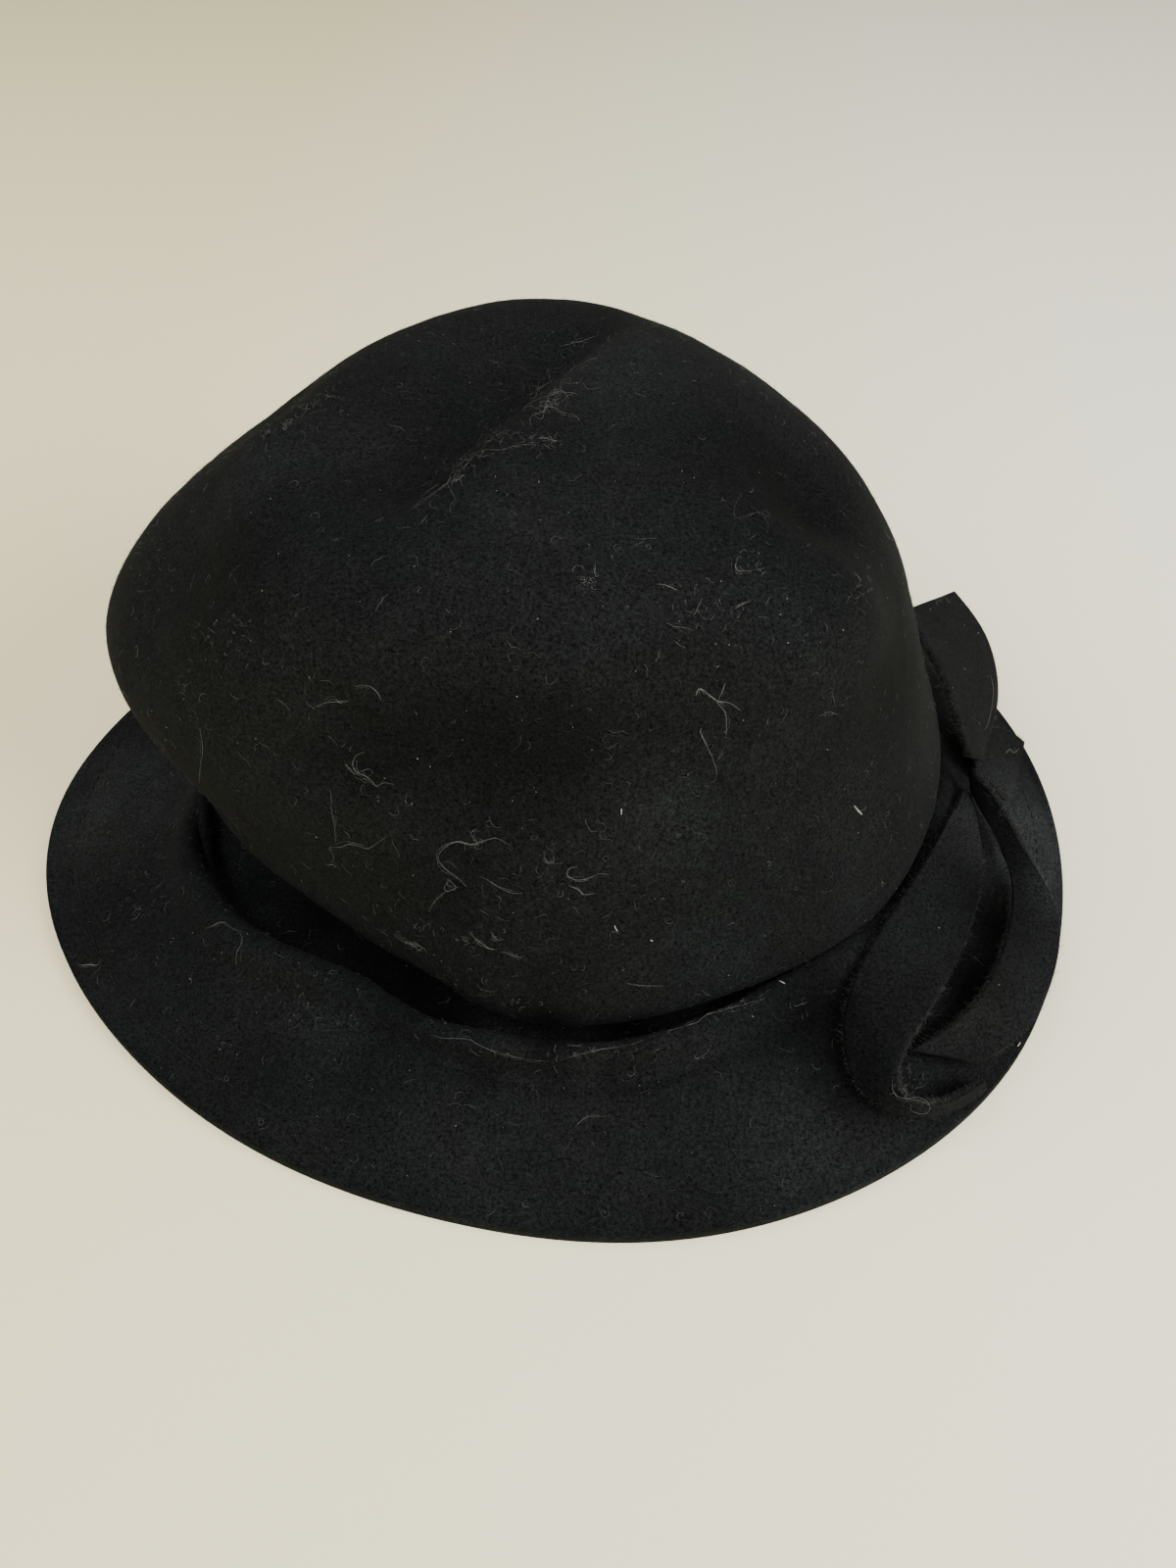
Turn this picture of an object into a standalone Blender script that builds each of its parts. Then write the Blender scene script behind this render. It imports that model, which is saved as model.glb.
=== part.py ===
"""A soft black felt cloche hat: one blocked felt body with a tucked crown, and a bow of felt strips on its left side.

Metres, +Z up. The hat stands on its brim edge at z = 0, and the edge's box is centred on the origin.
-Y is the front of the hat, and +X is the side that carries the bow.
"""

from math import cos, radians, sin

import bmesh
import bpy
import numpy as np

# Driving dimensions of the felt body
BRIM_WIDTH = 0.292
BRIM_DEPTH = 0.284
CROWN_WIDTH = 0.210
CROWN_DEPTH = 0.206
CROWN_HEIGHT = 0.130
FELT = 0.0022
HEM_WIDTH = 0.009
HEM_FELT = 0.0018
FOOT_WIDTH = 0.0030
CROWN_LEAN = 0.006

# Driving dimensions of the bow
STRIP_FELT = 0.0020
STRIP_WIDTH = 0.022

# Fineness of the meshes
AROUND_STEPS = 60
PROFILE_STEPS = 38
CROWN_SHARE = 0.42
LIP_CONTROL = 15
STRIP_STEPS = 26
STRIP_ACROSS = 4

# One row for each eighteenth of a turn, from +X towards +Y. Outward reaches are shares of the crown's or the
# brim's half size, and heights are shares of the crown's height.
SECTION_COLUMNS = (
    "top_up", "shoulder_out", "shoulder_up", "wall_out", "edge_out", "edge_up",
    "tuck_out", "lip_out", "lip_up", "groove", "brim_out",
)
SECTIONS = (
    (1.00, 0.754, 0.86, 0.901, 1.026, 0.189, 0.86, 1.052, 0.150, 0.048, 0.975),
    (1.00, 0.731, 0.83, 0.926, 1.003, 0.195, 0.87, 1.026, 0.140, 0.030, 0.982),
    (1.00, 0.741, 0.83, 0.982, 0.995, 0.200, 0.87, 1.007, 0.130, 0.016, 0.979),
    (1.00, 0.764, 0.86, 1.035, 0.999, 0.204, 0.88, 1.003, 0.122, 0.011, 0.985),
    (1.00, 0.809, 0.88, 1.059, 1.003, 0.205, 0.88, 0.998, 0.117, 0.010, 0.999),
    (1.00, 0.810, 0.87, 1.058, 0.999, 0.207, 0.88, 0.993, 0.114, 0.010, 1.002),
    (1.00, 0.762, 0.83, 1.045, 0.993, 0.215, 0.88, 0.982, 0.111, 0.010, 0.988),
    (1.00, 0.731, 0.81, 1.032, 0.989, 0.231, 0.89, 0.969, 0.106, 0.010, 0.964),
    (1.00, 0.732, 0.80, 1.042, 0.995, 0.252, 0.88, 0.948, 0.100, 0.006, 0.970),
    (0.99, 0.773, 0.81, 1.063, 0.980, 0.262, 0.87, 0.955, 0.098, 0.010, 1.024),
    (0.98, 0.808, 0.83, 1.071, 0.915, 0.245, 0.79, 1.010, 0.112, 0.070, 1.002),
    (0.96, 0.837, 0.87, 0.974, 0.850, 0.205, 0.74, 1.060, 0.140, 0.095, 0.960),
    (0.95, 0.840, 0.88, 0.865, 0.805, 0.168, 0.71, 0.950, 0.160, 0.100, 0.950),
    (0.94, 0.830, 0.87, 0.840, 0.925, 0.128, 0.81, 1.000, 0.151, 0.085, 0.954),
    (0.94, 0.830, 0.87, 0.845, 0.960, 0.142, 0.86, 1.055, 0.153, 0.060, 0.999),
    (0.95, 0.835, 0.86, 0.870, 0.952, 0.163, 0.86, 1.015, 0.157, 0.060, 1.011),
    (0.96, 0.830, 0.87, 0.900, 1.019, 0.168, 0.86, 1.047, 0.160, 0.060, 1.010),
    (0.98, 0.798, 0.87, 0.912, 1.012, 0.180, 0.86, 1.062, 0.157, 0.057, 0.977),
)

# Soft dents in the crown. Around is the direction round the hat in degrees, out and up are shares of the
# crown's half size and height, depth and radius are shares of the crown's height, and stretch is how much
# longer the dent is round the hat than up it.
DENT_COLUMNS = ("around", "out", "up", "depth", "radius", "stretch")
DENTS = {
    "front": (262, 0.80, 0.69, 0.060, 0.15, 2.4),
    "right_top": (341, 0.62, 0.88, 0.085, 0.14, 1.1),
    "right_corner": (319, 0.81, 0.79, -0.034, 0.11, 1.3),
    "left_rear": (168, 0.66, 0.91, 0.032, 0.12, 1.2),
    "left_front": (206, 0.84, 0.80, 0.048, 0.15, 1.0),
    "left_lobe": (196, 0.58, 0.96, -0.020, 0.14, 1.3),
}

# The crease pressed into the crown's top, in plan, as shares of the crown's half size. Its right side is
# steep and ends in a low ridge, and its left side runs out softly.
CREASE_START = (0.00, 0.22)
CREASE_END = (-0.25, -0.24)
CREASE_DEPTH = 0.088
CREASE_STEEP_SIDE = 0.100
CREASE_SOFT_SIDE = 0.24
CREASE_RUN_OUT = 0.18
CREASE_RIDGE = 0.014
CREASE_RIDGE_OUT = 0.15

# The bow's strips of felt, each from the knot outwards. A row gives the strip's two cut edges: the direction
# round the hat in degrees, the run as a share of the way from the lip to the brim's edge, and the rise of the
# strip's middle over the brim as a share of the strip's width.
STRIP_COLUMNS = ("left_around", "left_run", "left_rise", "right_around", "right_run", "right_rise")
STRIPS = {
    "bow_left_arm": (
        (350.0, 0.120, 0.145, 350.0, 0.200, 0.150),
        (338.7, 0.000, 0.110, 339.9, 0.360, 0.180),
        (326.1, -0.020, 0.120, 327.4, 0.435, 0.230),
        (315.9, 0.032, 0.110, 318.8, 0.483, 0.270),
        (309.0, 0.149, 0.100, 313.0, 0.549, 0.320),
        (304.0, 0.331, 0.100, 308.5, 0.618, 0.390),
        (301.8, 0.573, 0.100, 304.7, 0.705, 0.430),
        (302.8, 0.770, 0.100, 304.1, 0.815, 0.420),
        (306.0, 0.910, 0.100, 306.0, 0.905, 0.370),
        (309.8, 0.965, 0.100, 309.1, 0.945, 0.330),
        (313.3, 0.975, 0.100, 312.9, 0.955, 0.300),
    ),
    "bow_right_arm": (
        (352.4, 0.260, 0.058, 352.9, 0.200, 0.410),
        (347.6, 0.380, 0.060, 348.1, 0.390, 0.500),
        (342.0, 0.519, 0.090, 342.4, 0.553, 0.520),
        (337.5, 0.572, 0.205, 338.9, 0.755, 0.455),
        (332.3, 0.608, 0.250, 336.5, 0.917, 0.360),
        (326.7, 0.645, 0.295, 333.1, 0.985, 0.295),
        (321.3, 0.677, 0.345, 327.4, 1.000, 0.260),
        (315.9, 0.692, 0.364, 322.4, 0.995, 0.240),
        (312.0, 0.654, 0.280, 317.7, 0.955, 0.240),
        (308.8, 0.610, 0.190, 313.9, 0.900, 0.270),
    ),
    "bow_upper_loop": (
        (355.3, 0.190, 0.380, 357.5, 0.330, 0.240),
        (355.0, 0.060, 0.640, 2.1, 0.451, 0.409),
        (357.2, -0.020, 0.909, 6.0, 0.584, 0.591),
        (0.4, -0.100, 1.182, 10.2, 0.672, 0.818),
        (4.5, -0.145, 1.409, 16.1, 0.767, 1.045),
        (8.0, -0.180, 1.545, 18.7, 0.692, 1.273),
        (12.7, -0.155, 1.545, 22.6, 0.619, 1.409),
    ),
    "bow_tail": (
        (4.1, 0.333, 0.180, 357.0, 0.300, 0.120),
        (9.6, 0.734, 0.160, 354.9, 0.420, 0.110),
        (9.1, 0.880, 0.140, 354.3, 0.500, 0.100),
        (7.8, 0.960, 0.120, 353.6, 0.580, 0.100),
    ),
}

FELT_BLACK = (0.012, 0.012, 0.013, 1.0)
FELT_ROUGHNESS = 0.95


def periodic_weights(angle, count):
    """Weights of a closed cubic B-spline's control rows at an angle in radians."""
    share = (angle / (2 * np.pi)) % 1.0 * count
    first = int(np.floor(share))
    t = share - first
    blend = np.array([(1 - t) ** 3, 3 * t**3 - 6 * t**2 + 4, -3 * t**3 + 3 * t**2 + 3 * t + 1, t**3]) / 6
    weights = np.zeros(count)
    for step, weight in zip(range(-1, 3), blend):
        weights[(first + step) % count] += weight
    return weights


def open_weights(share, count, degree=3):
    """Weights of a clamped B-spline's control points at a share from 0 to 1 of its length."""
    spans = count - degree
    knots = np.concatenate([np.zeros(degree), np.arange(spans + 1), np.full(degree, spans)])
    position = min(share, 1 - 1e-9) * spans
    weights = np.array([1.0 if knots[i] <= position < knots[i + 1] else 0.0 for i in range(len(knots) - 1)])
    for order in range(1, degree + 1):
        raised = np.zeros(len(weights) - 1)
        for i in range(len(raised)):
            left, right = knots[i + order] - knots[i], knots[i + order + 1] - knots[i + 1]
            if left > 0:
                raised[i] += weights[i] * (position - knots[i]) / left
            if right > 0:
                raised[i] += weights[i + 1] * (knots[i + order + 1] - position) / right
        weights = raised
    return weights


def section_at(angle):
    """The section table's columns at an angle, by name."""
    values = periodic_weights(angle, len(SECTIONS)) @ np.array(SECTIONS)
    return dict(zip(SECTION_COLUMNS, values))


def brim_centre_and_stretch():
    """Shift and stretch that give the brim's edge exactly its named width and depth about the origin."""
    angles = np.linspace(0, 2 * np.pi, AROUND_STEPS, endpoint=False)
    edge = np.array([np.array([cos(a), sin(a)]) * section_at(a)["brim_out"] for a in angles])
    low, high = edge.min(0), edge.max(0)
    return (low + high) / 2, 2 / (high - low)


BRIM_CENTRE, BRIM_STRETCH = brim_centre_and_stretch()


def crown_point(angle, out, height, lean=0.0):
    """A point at a share of the crown's half size and a share of its height."""
    return np.array([
        CROWN_WIDTH / 2 * out * cos(angle) - CROWN_LEAN * lean,
        CROWN_DEPTH / 2 * out * sin(angle),
        CROWN_HEIGHT * height,
    ])


def brim_edge_point(angle, height):
    """The brim's outermost point at an angle."""
    plan = np.array([cos(angle), sin(angle)]) * section_at(angle)["brim_out"]
    plan = (plan - BRIM_CENTRE) * BRIM_STRETCH * np.array([BRIM_WIDTH, BRIM_DEPTH]) / 2
    return np.array([plan[0], plan[1], height])


def profile_controls(angle):
    """Control points of the felt's middle line at one angle, from the crown's top to the brim's edge."""
    s = section_at(angle)
    edge_up, lip_up, tuck = s["edge_up"], s["lip_up"], s["tuck_out"]
    floor_up = lip_up - s["groove"]
    roll = min(1.0, s["groove"] / 0.05)
    wall = s["shoulder_up"] - edge_up
    inner_lip = tuck + 0.70 * (s["lip_out"] - tuck)
    lip = crown_point(angle, s["lip_out"], lip_up)
    edge = brim_edge_point(angle, 0.5 * FELT)
    brim = []
    for run, drop in ((0.06, 0.05), (0.13, 0.23), (0.25, 0.31), (0.52, 0.47), (0.80, 0.75)):
        point = lip + (edge - lip) * run
        point[2] = lip[2] + (edge[2] - lip[2]) * drop
        brim.append(point)
    return np.array([
        crown_point(angle, 0.0, 1.0, 1.0),
        crown_point(angle, 0.30 * s["shoulder_out"], 1.005, 1.0),
        crown_point(angle, 0.66 * s["shoulder_out"], 1.0 * s["top_up"], 1.0),
        crown_point(angle, 1.02 * s["shoulder_out"], s["shoulder_up"], 0.8),
        crown_point(angle, s["wall_out"], edge_up + 0.62 * wall, 0.6),
        crown_point(angle, 0.5 * (s["wall_out"] + s["edge_out"]), edge_up + 0.30 * wall, 0.2),
        crown_point(angle, s["edge_out"], edge_up + 0.07),
        crown_point(angle, 1.01 * s["edge_out"], edge_up - 0.006),
        crown_point(angle, tuck + 0.55 * (s["edge_out"] - tuck), edge_up - 0.006),
        crown_point(angle, tuck, edge_up + 0.008),
        crown_point(angle, tuck - 0.01, 0.5 * (edge_up + floor_up)),
        crown_point(angle, tuck + 0.02, floor_up),
        crown_point(angle, inner_lip, floor_up),
        crown_point(angle, tuck + 0.76 * (s["lip_out"] - tuck), lip_up - 0.004 * roll),
        crown_point(angle, tuck + 0.84 * (s["lip_out"] - tuck), lip_up + 0.008 * roll),
        lip + np.array([0, 0, 0.012 * roll * CROWN_HEIGHT]),
        *brim,
        edge,
    ])


def brim_top(angle, run):
    """The point on the brim's upper side at a share of the way from the lip to the edge."""
    controls = profile_controls(angle)
    first, last = controls[LIP_CONTROL], controls[-1]
    target = first[:2] + (last[:2] - first[:2]) * run
    shares = np.linspace(0.60, 1.0, 41)
    line = np.array([open_weights(share, len(controls)) for share in shares]) @ controls
    reach = np.linalg.norm(line[:, :2], axis=1)
    rising = np.maximum.accumulate(reach)
    height = np.interp(np.linalg.norm(target), rising, line[:, 2])
    slope = np.gradient(line[:, 2], rising + 1e-9 * np.arange(len(rising)))
    steep = np.interp(np.linalg.norm(target), rising, slope)
    return np.array([target[0], target[1], height + FELT / 2 * np.sqrt(1 + min(abs(steep), 1.0) ** 2)])


def crease_depth(points):
    """How far the crown's top crease sinks each point, in metres."""
    start, end = np.array(CREASE_START), np.array(CREASE_END)
    length = np.linalg.norm(end - start)
    along = (end - start) / length
    plan = points[:, :2] / np.array([CROWN_WIDTH / 2, CROWN_DEPTH / 2]) - start
    run = plan @ along
    side = plan @ np.array([-along[1], along[0]])
    beyond = np.maximum(0, np.maximum(-run, run - length))
    width = np.where(side > 0, CREASE_STEEP_SIDE, CREASE_SOFT_SIDE)
    on_top = np.clip(points[:, 2] / CROWN_HEIGHT / 0.6 - 0.5, 0, 1)
    valley = CREASE_DEPTH * np.exp(-((side / width) ** 2))
    ridge = CREASE_RIDGE * np.exp(-(((side - CREASE_RIDGE_OUT) / (0.7 * CREASE_RIDGE_OUT)) ** 2))
    return CROWN_HEIGHT * (valley - ridge) * np.exp(-((beyond / CREASE_RUN_OUT) ** 2)) * on_top


def dent_depth(points, around, out, up, depth, radius, stretch):
    """How far one soft dent sinks each point, in metres."""
    centre = crown_point(radians(around), out, up)
    across = np.array([-sin(radians(around)), cos(radians(around)), 0])
    apart = points - centre
    sideways = apart @ across
    rest = np.linalg.norm(apart - sideways[:, None] * across, axis=1)
    size = radius * CROWN_HEIGHT
    return depth * CROWN_HEIGHT * np.exp(-((sideways / (size * stretch)) ** 2) - (rest / size) ** 2)


def grid_normals(grid):
    """Outward unit normals of a grid of points, rows round the hat and columns down its profile."""
    around = np.roll(grid, -1, 0) - np.roll(grid, 1, 0)
    down = np.gradient(grid, axis=1)
    normals = np.cross(down, around)
    normals[:, 0] = (0, 0, 1)
    return normals / np.maximum(np.linalg.norm(normals, axis=2, keepdims=True), 1e-12)


def profile_shares(steps):
    """Where the profile is sampled: halfway between even spacing in length and even spacing in the spline."""
    controls = profile_controls(0.0)
    fine = np.linspace(0, 1, 400)
    line = np.array([open_weights(share, len(controls)) for share in fine]) @ controls
    length = np.concatenate([[0], np.cumsum(np.linalg.norm(np.diff(line, axis=0), axis=1))])
    return np.interp(np.linspace(0, 1, steps), 0.5 * (length / length[-1] + fine), fine)


def felt_middle(around_steps, shares):
    """The felt's middle surface as a grid, with the crown's dents and crease pressed in."""
    angles = np.linspace(0, 2 * np.pi, around_steps, endpoint=False)
    controls = np.array([profile_controls(a) for a in angles])
    weights = np.array([open_weights(share, controls.shape[1]) for share in shares])
    grid = np.einsum("sc,acx->asx", weights, controls)
    normals = grid_normals(grid)
    flat = grid.reshape(-1, 3)
    depth = crease_depth(flat)
    for row in DENTS.values():
        depth = depth + dent_depth(flat, *row)
    depth = depth.reshape(grid.shape[:2]) * (shares < CROWN_SHARE)
    return grid - normals * depth[:, :, None]


def felt_skins(around_steps, shares):
    """Outer and inner skins of the felt, with a turned hem and a flat foot under the brim's edge."""
    middle = felt_middle(around_steps, shares)
    normals = grid_normals(middle)
    outer = middle + normals * FELT / 2
    steps = np.linalg.norm(np.diff(middle, axis=1), axis=2)
    to_edge = np.concatenate([np.cumsum(steps[:, ::-1], 1)[:, ::-1], np.zeros((len(middle), 1))], 1)
    hem = np.clip((HEM_WIDTH - to_edge) / (0.3 * HEM_WIDTH) + 0.5, 0, 1)
    inner = middle - normals * (FELT / 2 + HEM_FELT * hem)[:, :, None]
    foot_out = middle[:, -1].copy()
    foot_out[:, 2] = 0
    away = foot_out[:, :2] / np.linalg.norm(foot_out[:, :2], axis=1, keepdims=True)
    foot_in = foot_out.copy()
    foot_in[:, :2] -= away * FOOT_WIDTH
    inner[:, :, 2] = np.maximum(inner[:, :, 2], 0)
    inner[:, -1] = foot_in
    outer[:, -1] = middle[:, -1] + np.array([0, 0, FELT / 2])
    return outer, inner, foot_out


def closed_shell(name, outer, inner, foot_out):
    """The felt body as one mesh: both skins share the foot ring at the brim's edge."""
    mesh = bmesh.new()
    columns = [outer[:, i] for i in range(1, outer.shape[1])] + [foot_out]
    columns += [inner[:, i] for i in range(inner.shape[1] - 1, 0, -1)]
    rings = [[mesh.verts.new(p) for p in column] for column in columns]
    count = len(rings[0])
    for first, second in zip(rings, rings[1:]):
        for i in range(count):
            j = (i + 1) % count
            mesh.faces.new((first[i], second[i], second[j], first[j]))
    for pole, ring, order in ((outer[:, 0].mean(0), rings[0], 1), (inner[:, 0].mean(0), rings[-1], -1)):
        tip = mesh.verts.new(pole)
        for i in range(count):
            mesh.faces.new((tip, ring[i], ring[(i + 1) % count])[::order])
    bmesh.ops.recalc_face_normals(mesh, faces=mesh.faces)
    data = bpy.data.meshes.new(name)
    mesh.to_mesh(data)
    mesh.free()
    return data


def strip_edges(rows, steps):
    """Both cut edges of a strip as smooth curves over the brim."""
    edges = []
    for side in (0, 3):
        points = np.array([brim_top(radians(row[side]), row[side + 1]) for row in rows])
        points[:, 2] += np.array([row[side + 2] for row in rows]) * STRIP_WIDTH
        weights = np.array([open_weights(share, len(rows)) for share in np.linspace(0, 1, steps)])
        edges.append(weights @ points)
    return edges


def strip_skins(rows, steps, across):
    """Upper and under skins of a strip, half its felt to each side of the surface between its edges."""
    left, right = strip_edges(rows, steps)
    shares = np.linspace(0, 1, across + 1)[None, :, None]
    middle = left[:, None] + (right - left)[:, None] * shares
    normals = np.cross(np.gradient(middle, axis=1), np.gradient(middle, axis=0))
    normals /= np.linalg.norm(normals, axis=2, keepdims=True)
    return middle + normals * STRIP_FELT / 2, middle - normals * STRIP_FELT / 2


def closed_strip(name, upper, under):
    """A strip as one closed mesh, its four sides joining the two skins."""
    mesh = bmesh.new()
    above = [[mesh.verts.new(p) for p in row] for row in upper]
    below = [[mesh.verts.new(p) for p in row] for row in under]
    last, side = len(above) - 1, len(above[0]) - 1
    for i in range(last):
        for j in range(side):
            mesh.faces.new((above[i][j], above[i + 1][j], above[i + 1][j + 1], above[i][j + 1]))
            mesh.faces.new((below[i][j + 1], below[i + 1][j + 1], below[i + 1][j], below[i][j]))
        for j, turn in ((0, 1), (side, -1)):
            mesh.faces.new((above[i][j], below[i][j], below[i + 1][j], above[i + 1][j])[::turn])
    for j in range(side):
        for i, turn in ((0, 1), (last, -1)):
            mesh.faces.new((above[i][j + 1], below[i][j + 1], below[i][j], above[i][j])[::turn])
    bmesh.ops.recalc_face_normals(mesh, faces=mesh.faces)
    data = bpy.data.meshes.new(name)
    mesh.to_mesh(data)
    mesh.free()
    return data


def felt_material():
    """Dull black wool felt."""
    material = bpy.data.materials.new("black_felt")
    material.use_nodes = True
    shader = material.node_tree.nodes["Principled BSDF"]
    shader.inputs["Base Color"].default_value = FELT_BLACK
    shader.inputs["Roughness"].default_value = FELT_ROUGHNESS
    shader.inputs["Metallic"].default_value = 0.0
    return material


def add_object(name, data, material):
    """A named object with its material."""
    item = bpy.data.objects.new(name, data)
    data.materials.append(material)
    data.shade_smooth()
    data.set_sharp_from_angle(angle=radians(50))
    bpy.context.scene.collection.objects.link(item)
    return item


def main():
    for item in list(bpy.data.objects):
        bpy.data.objects.remove(item)
    felt = felt_material()
    outer, inner, foot_out = felt_skins(AROUND_STEPS, profile_shares(PROFILE_STEPS))
    add_object("felt_body", closed_shell("felt_body", outer, inner, foot_out), felt)
    for name, rows in STRIPS.items():
        upper, under = strip_skins(rows, STRIP_STEPS, STRIP_ACROSS)
        add_object(name, closed_strip(name, upper, under), felt)


main()
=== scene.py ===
"""The felt cloche hat dressed for its picture: fine felt, nap, hem stitches, fuzzy cut edges and lint."""

from math import cos, pi, radians, sin

import bpy
import numpy as np
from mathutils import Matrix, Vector
from mathutils.bvhtree import BVHTree
from numpy.linalg import norm


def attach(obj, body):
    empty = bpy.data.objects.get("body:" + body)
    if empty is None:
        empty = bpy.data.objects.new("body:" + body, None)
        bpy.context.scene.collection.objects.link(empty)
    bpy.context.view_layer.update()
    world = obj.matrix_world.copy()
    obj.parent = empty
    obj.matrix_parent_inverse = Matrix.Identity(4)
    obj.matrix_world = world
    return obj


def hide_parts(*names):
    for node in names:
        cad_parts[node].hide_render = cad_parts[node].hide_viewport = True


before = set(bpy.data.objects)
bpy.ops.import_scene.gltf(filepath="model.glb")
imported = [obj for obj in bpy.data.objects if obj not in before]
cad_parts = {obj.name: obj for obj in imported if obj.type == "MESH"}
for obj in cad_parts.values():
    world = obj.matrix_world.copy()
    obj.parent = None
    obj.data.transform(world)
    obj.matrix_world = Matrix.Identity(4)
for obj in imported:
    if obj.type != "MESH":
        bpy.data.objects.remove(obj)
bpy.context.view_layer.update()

# Driving dimensions of the felt body
BRIM_WIDTH = 0.292
BRIM_DEPTH = 0.284
CROWN_WIDTH = 0.210
CROWN_DEPTH = 0.206
CROWN_HEIGHT = 0.130
FELT = 0.0022
HEM_WIDTH = 0.009
HEM_FELT = 0.0018
FOOT_WIDTH = 0.0030
CROWN_LEAN = 0.006

# Driving dimensions of the bow
STRIP_FELT = 0.0020
STRIP_WIDTH = 0.022

# The share of the profile that is the crown, and the control point that is the lip
CROWN_SHARE = 0.42
LIP_CONTROL = 15

# One row for each eighteenth of a turn, from +X towards +Y. Outward reaches are shares of the crown's or
# the brim's half size, and heights are shares of the crown's height.
SECTION_COLUMNS = (
    "top_up", "shoulder_out", "shoulder_up", "wall_out", "edge_out", "edge_up",
    "tuck_out", "lip_out", "lip_up", "groove", "brim_out",
)
SECTIONS = (
    (1.00, 0.754, 0.86, 0.901, 1.026, 0.189, 0.86, 1.052, 0.150, 0.048, 0.975),
    (1.00, 0.731, 0.83, 0.926, 1.003, 0.195, 0.87, 1.026, 0.140, 0.030, 0.982),
    (1.00, 0.741, 0.83, 0.982, 0.995, 0.200, 0.87, 1.007, 0.130, 0.016, 0.979),
    (1.00, 0.764, 0.86, 1.035, 0.999, 0.204, 0.88, 1.003, 0.122, 0.011, 0.985),
    (1.00, 0.809, 0.88, 1.059, 1.003, 0.205, 0.88, 0.998, 0.117, 0.010, 0.999),
    (1.00, 0.810, 0.87, 1.058, 0.999, 0.207, 0.88, 0.993, 0.114, 0.010, 1.002),
    (1.00, 0.762, 0.83, 1.045, 0.993, 0.215, 0.88, 0.982, 0.111, 0.010, 0.988),
    (1.00, 0.731, 0.81, 1.032, 0.989, 0.231, 0.89, 0.969, 0.106, 0.010, 0.964),
    (1.00, 0.732, 0.80, 1.042, 0.995, 0.252, 0.88, 0.948, 0.100, 0.006, 0.970),
    (0.99, 0.773, 0.81, 1.063, 0.980, 0.262, 0.87, 0.955, 0.098, 0.010, 1.024),
    (0.98, 0.808, 0.83, 1.071, 0.915, 0.245, 0.79, 1.010, 0.112, 0.070, 1.002),
    (0.96, 0.837, 0.87, 0.974, 0.850, 0.205, 0.74, 1.060, 0.140, 0.095, 0.960),
    (0.95, 0.840, 0.88, 0.865, 0.805, 0.168, 0.71, 0.950, 0.160, 0.100, 0.950),
    (0.94, 0.830, 0.87, 0.840, 0.925, 0.128, 0.81, 1.000, 0.151, 0.085, 0.954),
    (0.94, 0.830, 0.87, 0.845, 0.960, 0.142, 0.86, 1.055, 0.153, 0.060, 0.999),
    (0.95, 0.835, 0.86, 0.870, 0.952, 0.163, 0.86, 1.015, 0.157, 0.060, 1.011),
    (0.96, 0.830, 0.87, 0.900, 1.019, 0.168, 0.86, 1.047, 0.160, 0.060, 1.010),
    (0.98, 0.798, 0.87, 0.912, 1.012, 0.180, 0.86, 1.062, 0.157, 0.057, 0.977),
)

# Soft dents in the crown. Around is the direction round the hat in degrees, out and up are shares of the
# crown's half size and height, depth and radius are shares of the crown's height, and stretch is how much
# longer the dent is round the hat than up it.
DENTS = {
    "front": (262, 0.80, 0.69, 0.060, 0.15, 2.4),
    "right_top": (341, 0.62, 0.88, 0.085, 0.14, 1.1),
    "right_corner": (319, 0.81, 0.79, -0.034, 0.11, 1.3),
    "left_rear": (168, 0.66, 0.91, 0.032, 0.12, 1.2),
    "left_front": (206, 0.84, 0.80, 0.048, 0.15, 1.0),
    "left_lobe": (196, 0.58, 0.96, -0.020, 0.14, 1.3),
}

# The crease pressed into the crown's top, in plan, as shares of the crown's half size. Its right side is
# steep and ends in a low ridge, and its left side runs out softly.
CREASE_START = (0.00, 0.22)
CREASE_END = (-0.25, -0.24)
CREASE_DEPTH = 0.088
CREASE_STEEP_SIDE = 0.100
CREASE_SOFT_SIDE = 0.24
CREASE_RUN_OUT = 0.18
CREASE_RIDGE = 0.014
CREASE_RIDGE_OUT = 0.15

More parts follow.
